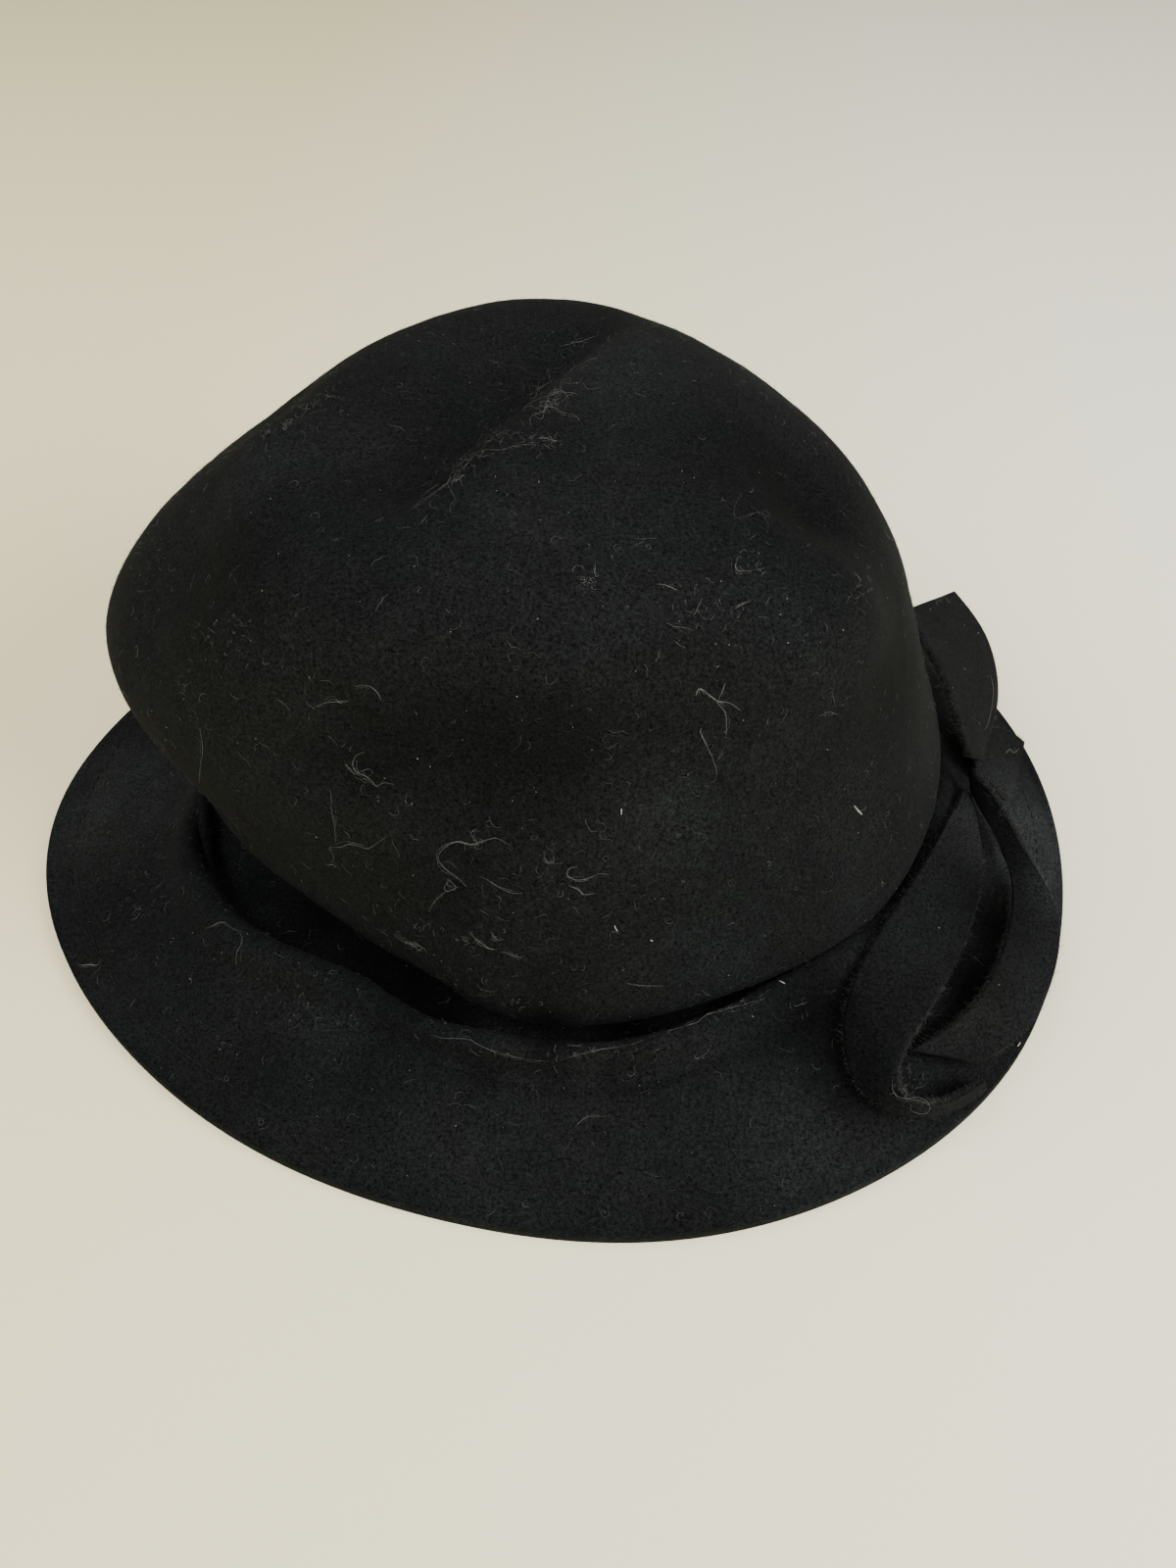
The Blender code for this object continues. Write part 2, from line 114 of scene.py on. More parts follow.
# The bow's strips of felt, each from the knot outwards. A row gives the strip's two cut edges, left and
# then right: the direction round the hat in degrees, the run as a share of the way from the lip to the
# brim's edge, and the rise of the felt's middle over the brim as a share of the strip's width.
STRIPS = {
    "bow_left_arm": (
        (350, 0.12, 0.145, 350, 0.2, 0.15),
        (338.7, 0, 0.11, 339.9, 0.36, 0.18),
        (326.1, -0.02, 0.12, 327.4, 0.435, 0.23),
        (315.9, 0.032, 0.11, 318.8, 0.483, 0.27),
        (309, 0.149, 0.1, 313, 0.549, 0.32),
        (304, 0.331, 0.1, 308.5, 0.618, 0.39),
        (301.8, 0.573, 0.1, 304.7, 0.705, 0.43),
        (302.8, 0.77, 0.1, 304.1, 0.815, 0.42),
        (306, 0.91, 0.1, 306, 0.905, 0.37),
        (309.8, 0.965, 0.1, 309.1, 0.945, 0.33),
        (313.3, 0.975, 0.1, 312.9, 0.955, 0.3),
    ),
    "bow_right_arm": (
        (352.4, 0.26, 0.058, 352.9, 0.2, 0.41),
        (347.6, 0.38, 0.06, 348.1, 0.39, 0.5),
        (342, 0.519, 0.09, 342.4, 0.553, 0.52),
        (337.5, 0.572, 0.205, 338.9, 0.755, 0.455),
        (332.3, 0.608, 0.25, 336.5, 0.917, 0.36),
        (326.7, 0.645, 0.295, 333.1, 0.985, 0.295),
        (321.3, 0.677, 0.345, 327.4, 1, 0.26),
        (315.9, 0.692, 0.364, 322.4, 0.995, 0.24),
        (312, 0.654, 0.28, 317.7, 0.955, 0.24),
        (308.8, 0.61, 0.19, 313.9, 0.9, 0.27),
    ),
    "bow_upper_loop": (
        (355.3, 0.19, 0.38, 357.5, 0.33, 0.24),
        (355, 0.06, 0.64, 2.1, 0.451, 0.409),
        (357.2, -0.02, 0.909, 6, 0.584, 0.591),
        (0.4, -0.1, 1.182, 10.2, 0.672, 0.818),
        (4.5, -0.145, 1.409, 16.1, 0.767, 1.045),
        (8, -0.18, 1.545, 18.7, 0.692, 1.273),
        (12.7, -0.155, 1.545, 22.6, 0.619, 1.409),
    ),
    "bow_tail": (
        (4.1, 0.333, 0.18, 357, 0.3, 0.12),
        (9.6, 0.734, 0.16, 354.9, 0.42, 0.11),
        (9.1, 0.88, 0.14, 354.3, 0.5, 0.1),
        (7.8, 0.96, 0.12, 353.6, 0.58, 0.1),
    ),
}

# Fineness of the dressed meshes
AROUND_STEPS = 216
PROFILE_STEPS = 170
HEM_EXTRA_STEPS = 20
HEM_SPAN = (0.930, 0.972)
BOW_STEPS = 110
BOW_ACROSS = 16
CUT_ROUND = 0.0007
CUT_STEPS = 7

# The photograph's camera, in metres, degrees and pixels of its 1200 by 1600 frame
PHOTO_WIDTH = 1200
PHOTO_HEIGHT = 1600
PHOTO_FOCAL = 1300
CAMERA_TARGET = (0.0098, 0.0055, 0.0)
CAMERA_DISTANCE = 0.387
CAMERA_ELEVATION = 43

# Relief of the fold too fine for the solid. A row gives the direction round the hat in degrees, and in
# metres the lip's ridge, the valley beyond it and how far the recess sinks right up to its lip.
FOLDS = (
    (190, 0, 0, 0),
    (204, 0.0003, 0, 0.0022),
    (225, 0.0005, 0.0002, 0.003),
    (245, 0.0005, 0.001, 0.003),
    (262, 0.0008, 0.0022, 0.001),
    (285, 0.0008, 0.002, 0),
    (305, 0.0004, 0.001, 0),
    (325, 0, 0, 0),
)

# How far beyond the lip each lies and its half width, in metres, where the recess ends, and the shares of
# the profile where the recess and the brim begin
RIDGE_REACH = (-0.0030, 0.0024)
VALLEY_REACH = (0.0042, 0.0030)
SINK_REACH = (-0.0045, 0.0022)
FLOOR_SHARE = 0.56
BRIM_SHARE = 0.66
SHARE_FADE = 0.02

# How the gap under the crown opens. A row gives the direction and half width in degrees, and in metres
# how far the wall's foot draws in and up and the lip moves out and down. The two spans are the shares of
# the profile where each change starts, is whole and ends.
GAPS = {
    "recess_corner": (254, 9, 0.0040, 0.0028, 0.0024, 0.0014),
    "tuck": (274, 15, 0.0002, 0.0002, 0.0014, 0.0010),
}
GAP_WALL = (0.25, 0.35, 0.46, 0.52)
GAP_LIP = (0.57, 0.63, 0.70, 0.84)

# The dark slit at the recess's left end: its direction and half length in degrees, and in metres its
# distance from the axis, half width and depth
SLIT = {"around": 202.0, "half_turn": 6.0, "out": 0.1022, "half_width": 0.0013, "depth": 0.0045}

# Soft unevenness of the felt: height and wave in metres, seed, and how it fades at the edge
LUMPS = ((0.00028, 0.045, 3), (0.00010, 0.014, 4))
LUMP_WAVES = 14
LUMP_FADE = 0.004
BOW_LUMPS = (0.00012, 0.016)
BOW_SEED = 20

# Painted shade and painted light: places where the felt's tone is darkened to stand for shade (recess,
# tuck, creases, dents, under and inside the bow) and lightened to stand for light falling on the crown and
# brim.
# Each place's middle and reach in millimetres, and the share of the felt's tone that is there
PAINTED_SHADE_AND_LIGHT = {
    "crease_valley": (-43, -37, 122, 30, 0.72),
    "crease_foot": (-19, -31, 126, 13, 0.45),
    "left_lobe": (-62, -24, 121, 22, 1.30),
    "left_hollow": (-69, -49, 110, 28, 0.58),
    "right_hollow": (53, -22, 116, 42, 0.46),
    "crown_middle": (2, -54, 124, 40, 1.25),
    "crest": (10, 12, 132, 34, 1.55),
    "front_top": (3, -77, 110, 30, 1.15),
    "front_dent": (-4, -81, 86, 33, 0.58),
    "dent_corner": (-37, -78, 83, 18, 0.68),
    "front_foot": (-11, -89, 60, 22, 0.88),
    "right_wall": (36, -82, 76, 34, 1.30),
    "behind_loop": (83, -44, 80, 34, 0.42),
    "left_brim": (-131, -8, 7, 50, 2.0),
    "front_brim": (-25, -125, 12, 34, 1.27),
    "right_brim": (135, -28, 8, 42, 2.60),
    "bow_brim": (65, -124, 6, 30, 1.30),
    "left_foot": (-98, -30, 30, 26, 0.62),
    "recess_left": (-60, -55, 10, 22, 0.28),
    "recess": (-45, -69, 10, 20, 0.36),
    "recess_front": (-33, -80, 10, 18, 0.34),
    "tuck_left": (-24, -91, 14, 13, 0.20),
    "tuck": (1, -100, 19, 13, 0.12),
    "tuck_right": (19, -94, 14, 14, 0.16),
    "under_bow": (65, -94, 16, 22, 0.30),
    "under_bow_end": (72, -110, 11, 18, 0.30),
    "inside_bow": (112, -60, 12, 24, 0.30),
    "inside_bow_end": (104, -80, 11, 16, 0.30),
    "recess_end": (-77, -40, 8, 20, 0.62),
    "lip_valley_left": (-14, -110, 16, 10, 0.72),
    "lip_valley": (2, -111, 18, 10, 0.66),
    "lip_valley_right": (18, -109, 19, 11, 0.74),
    "lip_shade_left": (-62, -77, 21, 14, 0.84),
    "lip_shade": (-49, -87, 22, 14, 0.84),
    "lip_shade_right": (-35, -96, 21, 13, 0.84),
    "brim_patch": (-54, -96, 16, 16, 1.25),
    "brim_middle": (1, -119, 14, 28, 1.15),
    "wall_edge": (83, -55, 53, 26, 0.82),
    "curl_end": (100, -108, 11, 12, 0.60),
    "loop": (124, 12, 33, 36, 0.86),
    "slit_high": (118, 37, 12, 18, 0.42),
    "slit_middle": (116, 14, 15, 18, 0.38),
    "slit_low": (111, -12, 20, 16, 0.36),
}

# How the dye's hue wanders, as shares of the felt's red, green and blue, and how far tones may rise
COOL = (0.98, 1.0, 1.02)
WARM = (1.02, 1.0, 0.98)
TONE_REACH = 2.5
BLACK = (0, 0, 0, 1)

# The felt's mottling: each noise's scale, detail, roughness and span that counts, and the tones it gives
MOTTLING = {
    "patches": (22.0, 4.0, 0.6, 0.35, 0.65, 0.80, 1.20),
    "clouds": (150.0, 3.0, 0.6, 0.35, 0.65, 0.90, 1.10),
    "speckle": (1300.0, 4.0, 0.9, 0.36, 0.66, 0.05, 2.20),
}

# Streaks of matted hair: the turn of each set and how its noise is scaled along three axes
STREAKS = ((0.4, (500, 3600, 2600)), (1.5, (3600, 520, 2400)), (2.4, (2500, 2700, 480)))
STREAK_SPAN = (0.60, 0.78)
STREAK_TONE = 1.2
STREAK_RISE = 0.6
SURFACE_SCALE = 900.0

# The hem's line of stitches
STITCH_INSET = 0.0083
STITCH_LENGTH = 0.0026
STITCH_PITCH = 0.0036
STITCH_JITTER = 0.0001
STITCH_THREAD = 0.00035
STITCH_RISE = 0.00030
STITCH_SINK = 0.00006
STITCH_GROOVE = 0.00040
STITCH_GROOVE_WIDTH = 0.0008
STITCH_POINTS = 7

# Fibres that chance places: how many and their seed, the least and greatest length and radius in metres,
# and for those that lie on the felt the points of each and how far it curls and rises
FIBRES = {
    "felt_nap": (15000, 11, (0.0006, 0.0020), (0.000014, 0.000024), 3, 1.6, 0.00012),
    "felt_fibrils": (6500, 17, (0.0008, 0.0030), (0.000016, 0.000028), 5, 4.0, 0.00020),
    "standing_nap": (9000, 19, (0.0004, 0.0013), (0.000012, 0.000020)),
    "lint_curls": (1500, 13, (0.0012, 0.0050), (0.000011, 0.000023), 9, 3.4, 0.00022),
    "lint_specks": (700, 15, (0.00006, 0.00035), (0.00003, 0.00007), 3, 1.0, 0.00006),
}
FIBRE_LIES = 0.00005

# Fuzz along the bow's cut edges, so many fibres to each edge
FUZZ_COUNT = 700
FUZZ_LENGTH = (0.0003, 0.0013)
FUZZ_RADIUS = (0.000010, 0.000020)
FUZZ_ROOT = 0.0003
FUZZ_SPREAD = 0.0009

# How named lint is drawn: the points of a fibre and of a flake, how far the main strand and each side
# strand shifts in pixels with its radius in metres for each millimetre of thickness, how a strand wanders
# in pixels, the points where a side strand starts and ends, and how high each lies and lifts in metres
LINT_POINTS = 30
FLAKE_POINTS = 7
STRANDS = ((0.3, 0.27e-3), (1.6, 0.11e-3), (1.6, 0.11e-3))
WANDER = 0.22
WANDER_SHARE = 0.6
SIDE_START = (0, 8)
SIDE_END = (16, 30)
LINT_LIES = 0.00006
SPECK_LIES = 0.00010
LINT_LIFT = 0.00016
FLAKE_RADIUS = 0.5e-3
SPECK_RADIUS = 0.3e-3
TUFT_STEPS = 9
TUFT_SPREAD = 0.6
TUFT_RADIUS = (0.000011, 0.000027)
TUFT_LIFT = 0.0003

# A fibre leaves the felt where a step is longer than so many usual ones and so many metres more
LONGEST_STEP = 4
STEP_SLACK = 0.0006

# Soft square lights: place and size in metres, power in watts, and colour
LIGHTS = {
    "key": ((1.15, -0.60, 0.75), 0.9, 34, (1.0, 0.99, 0.97)),
    "front": ((-0.15, -1.0, 1.1), 1.2, 19, (1.0, 0.985, 0.95)),
    "side": ((-1.0, 0.0, 1.0), 1.0, 12, (1.0, 0.985, 0.95)),
}
LIGHT_AIM = (0, 0, 0.05)
STUDIO_COLOUR = (1.0, 0.975, 0.91, 1)
STUDIO_STRENGTH = 0.58
SENSOR = 36
FLOOR_HALF = 6.0
# Painted light on the floor: its colour grows lighter from left to right across this span in metres
FLOOR_SHADED_LEFT = (0.82, 0.745, 0.45, 1)
FLOOR_LIT_RIGHT = (0.92, 0.885, 0.72, 1)
FLOOR_SPAN = (-0.20, 0.25)

# Lint: each named fibre has its thickness in millimetres and then its places in the photograph's pixels,
# across and down by turns
LINT = {
    "fork_stem": (0.11, 710, 711, 712, 705, 717, 705, 732, 716, 744, 719, 763, 732),
    "fork_branch": (0.06, 740, 697, 736, 709, 732, 716),
    "fork_curl": (0.09, 732, 716, 740, 728, 741, 741, 739, 751),
    "fork_foot": (0.07, 716, 743, 715, 749, 723, 763, 728, 776, 732, 791, 726, 801),
    "fork_side": (0.05, 737, 765, 734, 771, 730, 777),
    "upper_hook": (0.03, 757, 505, 751, 513, 749, 522, 751, 529, 757, 530, 772, 524, 779, 528, 784, 541,
        776, 545),
    "hook_dot": (0.04, 768, 497, 767, 503, 761, 504),
    "left_arc": (0.075, 320, 724, 337, 717, 347, 717, 360, 715),
    "left_arc_end": (0.06, 363, 702, 375, 701, 385, 708, 388, 716),
    "far_left_hair": (0.06, 204, 744, 207, 765, 204, 787, 205, 803),
    "low_loop": (0.075, 476, 905, 469, 897, 455, 888, 447, 877, 451, 867, 464, 860, 477, 863, 493, 859,
        504, 855, 515, 861, 529, 869),
    "low_branch": (0.06, 487, 847, 481, 851, 485, 857, 493, 859),
    "low_ring": (0.06, 456, 897, 464, 903, 464, 908, 457, 909, 455, 903, 464, 893),
    "low_tail": (0.06, 456, 909, 443, 921, 437, 933),
    "low_drift": (0.05, 493, 896, 507, 904, 524, 912, 536, 912),
    "zigzag": (0.075, 339, 881, 341, 872, 335, 865, 349, 864, 360, 862, 373, 867, 387, 859, 403, 847),
    "zigzag_foot": (0.08, 345, 885, 339, 882, 332, 883),
    "zigzag_rise": (0.05, 337, 805, 338, 816, 339, 829, 342, 851, 343, 864),
    "side_wave": (0.06, 371, 768, 361, 773, 360, 784, 371, 791, 379, 797, 384, 804, 395, 800, 411, 804),
    "side_twin": (0.05, 353, 780, 357, 787, 368, 792),
    "fish": (0.075, 589, 885, 581, 888, 579, 895, 587, 899, 601, 898, 612, 893, 629, 894),
    "fish_belly": (0.07, 580, 904, 591, 908, 597, 912, 611, 912),
    "small_v": (0.06, 555, 869, 557, 879, 565, 879, 565, 872),
    "low_bright": (0.09, 485, 959, 493, 964, 501, 969, 509, 968),
    "low_bright_twin": (0.06, 501, 952, 507, 959, 515, 960),
    "centre_wave": (0.06, 512, 971, 528, 976, 537, 976),
    "front_wave": (0.05, 640, 1003, 659, 1007, 677, 1005),
    "edge_frizz": (0.06, 403, 955, 416, 963, 429, 965, 437, 973),
    "brim_thread": (0.06, 211, 947, 221, 944, 228, 942, 237, 948, 247, 954, 245, 965, 241, 977, 243, 994),
    "brim_end": (0.10, 80, 986, 91, 985, 100, 984),
    "recess_hair": (0.05, 211, 851, 229, 847),
    "brim_dash": (0.05, 589, 1148, 600, 1140, 621, 1139),
    "lip_thread": (0.045, 440, 1056, 457, 1060, 477, 1061, 491, 1068, 512, 1075, 533, 1080, 549, 1083,
        571, 1084),
    "lip_fluff": (0.03, 571, 1082, 587, 1077, 613, 1072, 640, 1067, 663, 1061),
    "lip_end": (0.05, 683, 1052, 709, 1045, 724, 1036, 747, 1029, 773, 1023, 787, 1017),
    "ridge_line": (0.03, 420, 520, 439, 508, 457, 493, 479, 472, 500, 449, 527, 435),
    "ridge_twin": (0.035, 479, 469, 497, 459, 511, 460, 532, 455, 548, 455, 559, 457),
    "tuft_low": (0.05, 535, 417, 545, 408, 564, 403, 585, 402, 591, 405),
    "tuft_top": (0.06, 535, 411, 548, 397, 564, 389, 580, 385, 593, 387),
    "tuft_tip": (0.06, 565, 383, 577, 383, 585, 385, 593, 387),
    "tuft_wave": (0.05, 551, 409, 553, 416, 565, 416, 573, 421, 585, 423, 591, 428, 591, 432),
    "tuft_back": (0.06, 572, 355, 585, 351, 593, 349, 604, 345, 611, 343),
    "tuft_side": (0.06, 548, 448, 559, 449, 572, 451),
    "crown_stalk": (0.06, 607, 576, 608, 587, 612, 587),
    "crown_dash": (0.07, 669, 597, 680, 599, 692, 604),
    "crown_fork": (0.06, 707, 629, 712, 621, 717, 611),
    "crown_bend": (0.05, 749, 621, 760, 616, 767, 613),
    "crown_wave": (0.05, 680, 637, 691, 641, 711, 645),
    "crown_low": (0.05, 688, 655, 699, 663),
    "crown_hook": (0.05, 672, 664, 671, 672, 668, 676),
    "crown_nick": (0.07, 750, 576, 753, 583, 763, 583, 769, 581),
    "wall_tick": (0.05, 848, 707, 851, 717),
    "wall_bow": (0.05, 836, 731, 845, 728, 856, 728),
    "loop_curl": (0.10, 1011, 690, 1014, 702, 1014, 714, 1012, 726, 1009, 738, 1003, 748),
    "brim_wave": (0.12, 1027, 768, 1030, 765, 1033, 768, 1037, 767, 1040, 763),
    "bow_ring": (0.06, 910, 1094, 914, 1087, 922, 1087, 926, 1094, 922, 1101, 914, 1101, 910, 1094),
    "bow_chain": (0.07, 912, 1098, 910, 1110, 915, 1119, 927, 1123, 940, 1121, 949, 1128, 946, 1136,
        933, 1136, 927, 1129, 935, 1123),
}

# Short fat flakes and round specks of lint, written the same way with the mean width of each group
FLAKES = {
    "white": (0.66, 871, 822, 875, 827, 879, 831),
    "crown": (0.30, 627, 944, 628, 947, 630, 950),
    "low": (0.30, 663, 959, 666, 960),
    "wall": (0.30, 634, 825, 634, 831),
    "brim": (0.40, 1038, 1068, 1041, 1064),
    "edge": (0.35, 795, 1001, 801, 1004),
}
SPECKS = {
    "crown_top": (0.22, 551, 531, 601, 556, 729, 561, 708, 488, 696, 481, 507, 501, 550, 492, 479, 391,
        803, 611, 774, 565, 796, 627, 615, 619, 693, 634, 730, 657, 744, 658, 804, 656, 837, 655,
        732, 680, 860, 643, 601, 595, 596, 592, 604, 600),
    "crown_front": (0.24, 316, 691, 420, 820, 476, 725, 439, 782, 604, 765, 523, 817, 584, 720, 533, 845,
        323, 854, 547, 808, 524, 931, 426, 774, 844, 765, 858, 778, 226, 691, 188, 713),
    "brim": (0.24, 74, 827, 111, 799, 149, 890, 230, 929, 177, 958, 194, 999, 263, 999, 300, 1035,
        465, 1149, 672, 1104, 768, 1037, 799, 1003),
    "bow": (0.22, 961, 610, 949, 622, 980, 617, 984, 638, 998, 646, 965, 656, 984, 683, 1008, 690,
        972, 702, 999, 738, 1019, 1005, 958, 947, 1057, 835),
}

# Tufts of short curly fibres: centre across and down, spread across and down in the photograph's pixels,
# the spread's turn in degrees, how many fibres, and their length in pixels
TUFTS = {
    "crease_tuft": (560, 405, 26, 14, -38, 46, 20),
    "ridge_fuzz": (476, 474, 46, 8, -42, 60, 14),
    "ridge_side": (545, 453, 24, 6, 0, 18, 12),
    "crease_far": (600, 350, 16, 5, -18, 10, 12),
    "left_rim": (300, 428, 60, 5, -36, 40, 9),
    "left_side": (150, 545, 16, 46, 0, 34, 8),
    "left_foot": (230, 650, 40, 24, -30, 34, 8),
    "crown_middle": (601, 594, 12, 7, 0, 20, 8),
    "crown_band": (720, 620, 60, 16, 0, 36, 9),
    "crown_nicks": (765, 572, 18, 12, 0, 18, 8),
    "right_ridge": (878, 605, 22, 6, -65, 14, 12),
    "low_frizz": (415, 961, 22, 7, 28, 20, 9),
    "low_frizz_side": (433, 945, 8, 7, 0, 10, 9),
    "low_curl": (520, 880, 64, 36, 10, 24, 9),
    "corner": (505, 1012, 34, 14, 25, 18, 9),
    "corner_above": (480, 962, 22, 9, 25, 16, 9),
    "left_patch": (370, 785, 30, 18, 20, 5, 9),
    "lip": (600, 1074, 90, 4, 0, 28, 7),
    "lip_right": (735, 1033, 46, 4, -22, 22, 7),
    "brim_patch": (312, 1032, 50, 16, 18, 30, 5),
    "brim_left": (150, 900, 30, 60, 0, 26, 6),
    "bow_foot": (925, 1112, 14, 16, 0, 26, 10),
    "loop_top": (958, 612, 12, 4, -22, 18, 7),
    "arm_edge": (1019, 827, 30, 2, 58, 30, 8),
}


ANGLES = np.linspace(0, 2 * pi, AROUND_STEPS, endpoint=False)


def unit(vectors):
    """Vectors brought to length 1."""
    return vectors / np.maximum(norm(vectors, axis=-1, keepdims=True), 1e-12)


def bell(away, width):
    """A soft bump of height 1 by the distance from its middle and its half width."""
    return np.exp(-((away / width) ** 2))


def periodic_weights(angle, count):
    """Weights of a closed cubic B-spline's control rows at an angle in radians."""
    share = (angle / (2 * np.pi)) % 1.0 * count
    first = int(np.floor(share))
    t = share - first
    blend = np.array([(1 - t) ** 3, 3 * t**3 - 6 * t**2 + 4, -3 * t**3 + 3 * t**2 + 3 * t + 1, t**3]) / 6
    weights = np.zeros(count)
    for step, weight in zip(range(-1, 3), blend):
        weights[(first + step) % count] += weight
    return weights


def open_weights(shares, count, degree=3):
    """Weights of a clamped B-spline's control points, a row for each share from 0 to 1 of its length."""
    knots = np.pad(np.arange(count - degree + 1), degree, mode="edge")
    at = np.minimum(shares, 1 - 1e-9)[:, None] * (count - degree)
    weights = ((knots[:-1] <= at) & (at < knots[1:])).astype(float)
    for order in range(1, degree + 1):
        rise = (at - knots[:-order]) / np.maximum(knots[order:] - knots[:-order], 1e-9)
        weights = rise[:, :-1] * weights[:, :-1] + (1 - rise[:, 1:]) * weights[:, 1:]
    return weights


def section_at(angle):
    """The section table's columns at an angle, by name."""
    values = periodic_weights(angle, len(SECTIONS)) @ np.array(SECTIONS)
    return dict(zip(SECTION_COLUMNS, values))


def brim_centre_and_stretch():
    """Shift and stretch that give the brim's edge exactly its named width and depth about the origin."""
    edge = np.array([np.array([cos(a), sin(a)]) * section_at(a)["brim_out"] for a in ANGLES])
    low, high = edge.min(0), edge.max(0)
    return (low + high) / 2, 2 / (high - low)


BRIM_CENTRE, BRIM_STRETCH = brim_centre_and_stretch()


def crown_point(angle, out, height, lean=0.0):
    """A point at a share of the crown's half size and a share of its height."""
    return np.array([
        CROWN_WIDTH / 2 * out * cos(angle) - CROWN_LEAN * lean,
        CROWN_DEPTH / 2 * out * sin(angle),
        CROWN_HEIGHT * height,
    ])


def brim_edge_point(angle, height):
    """The brim's outermost point at an angle."""
    plan = np.array([cos(angle), sin(angle)]) * section_at(angle)["brim_out"]
    plan = (plan - BRIM_CENTRE) * BRIM_STRETCH * np.array([BRIM_WIDTH, BRIM_DEPTH]) / 2
    return np.array([plan[0], plan[1], height])


def profile_controls(angle):
    """Control points of the felt's middle line at one angle, from the crown's top to the brim's edge."""
    s = section_at(angle)
    edge_up, lip_up, tuck = s["edge_up"], s["lip_up"], s["tuck_out"]
    floor_up = lip_up - s["groove"]
    roll = min(1.0, s["groove"] / 0.05)
    wall = s["shoulder_up"] - edge_up
    to_edge, to_lip = s["edge_out"] - tuck, s["lip_out"] - tuck
    lip = crown_point(angle, s["lip_out"], lip_up)
    edge = brim_edge_point(angle, 0.5 * FELT)
    brim = []
    for run, drop in ((0.06, 0.05), (0.13, 0.23), (0.25, 0.31), (0.52, 0.47), (0.80, 0.75)):
        point = lip + (edge - lip) * run
        point[2] = lip[2] + (edge[2] - lip[2]) * drop
        brim.append(point)
    rows = (
        (0.0, 1.0, 1.0),
        (0.30 * s["shoulder_out"], 1.005, 1.0),
        (0.66 * s["shoulder_out"], s["top_up"], 1.0),
        (1.02 * s["shoulder_out"], s["shoulder_up"], 0.8),
        (s["wall_out"], edge_up + 0.62 * wall, 0.6),
        (0.5 * (s["wall_out"] + s["edge_out"]), edge_up + 0.30 * wall, 0.2),
        (s["edge_out"], edge_up + 0.07),
        (1.01 * s["edge_out"], edge_up - 0.006),
        (tuck + 0.55 * to_edge, edge_up - 0.006),
        (tuck, edge_up + 0.008),
        (tuck - 0.01, 0.5 * (edge_up + floor_up)),
        (tuck + 0.02, floor_up),
        (tuck + 0.70 * to_lip, floor_up),
        (tuck + 0.76 * to_lip, lip_up - 0.004 * roll),
        (tuck + 0.84 * to_lip, lip_up + 0.008 * roll),
    )
    crown = [crown_point(angle, *row) for row in rows]
    return np.array([*crown, lip + np.array([0, 0, 0.012 * roll * CROWN_HEIGHT]), *brim, edge])


def brim_top(angle, run):
    """The point on the brim's upper side at a share of the way from the lip to the edge."""
    controls = profile_controls(angle)
    first, last = controls[LIP_CONTROL], controls[-1]
    target = first[:2] + (last[:2] - first[:2]) * run
    line = open_weights(np.linspace(0.60, 1.0, 41), len(controls)) @ controls
    reach = norm(line[:, :2], axis=1)
    rising = np.maximum.accumulate(reach)
    height = np.interp(norm(target), rising, line[:, 2])
    slope = np.gradient(line[:, 2], rising + 1e-9 * np.arange(len(rising)))
    steep = np.interp(norm(target), rising, slope)
    return np.array([target[0], target[1], height + FELT / 2 * np.sqrt(1 + min(abs(steep), 1.0) ** 2)])


def crease_depth(points):
    """How far the crown's top crease sinks each point, in metres."""
    start, end = np.array(CREASE_START), np.array(CREASE_END)
    length = norm(end - start)
    along = (end - start) / length
    plan = points[:, :2] / np.array([CROWN_WIDTH / 2, CROWN_DEPTH / 2]) - start
    run = plan @ along
    side = plan @ np.array([-along[1], along[0]])
    beyond = np.maximum(0, np.maximum(-run, run - length))
    width = np.where(side > 0, CREASE_STEEP_SIDE, CREASE_SOFT_SIDE)
    on_top = np.clip(points[:, 2] / CROWN_HEIGHT / 0.6 - 0.5, 0, 1)
    valley = CREASE_DEPTH * bell(side, width)
    ridge = CREASE_RIDGE * bell(side - CREASE_RIDGE_OUT, 0.7 * CREASE_RIDGE_OUT)
    return CROWN_HEIGHT * (valley - ridge) * bell(beyond, CREASE_RUN_OUT) * on_top


def dent_depth(points, around, out, up, depth, radius, stretch):
    """How far one soft dent sinks each point, in metres."""
    centre = crown_point(radians(around), out, up)
    across = np.array([-sin(radians(around)), cos(radians(around)), 0])
    apart = points - centre
    sideways = apart @ across
    rest = norm(apart - sideways[:, None] * across, axis=1)
    size = radius * CROWN_HEIGHT
    return depth * CROWN_HEIGHT * bell(sideways, size * stretch) * bell(rest, size)


def grid_normals(grid):
    """Outward unit normals of a grid of points, rows round the hat and columns down its profile."""
    around = np.roll(grid, -1, 0) - np.roll(grid, 1, 0)
    down = np.gradient(grid, axis=1)
    normals = np.cross(down, around)
    normals[:, 0] = (0, 0, 1)
    return unit(normals)


def profile_shares():
    """Where the profile is sampled: halfway between even steps of length and even steps of the spline."""
    controls = profile_controls(0.0)
    fine = np.linspace(0, 1, 400)
    line = open_weights(fine, len(controls)) @ controls
    length = length_along(line)
    return np.interp(np.linspace(0, 1, PROFILE_STEPS), 0.5 * (length / length[-1] + fine), fine)


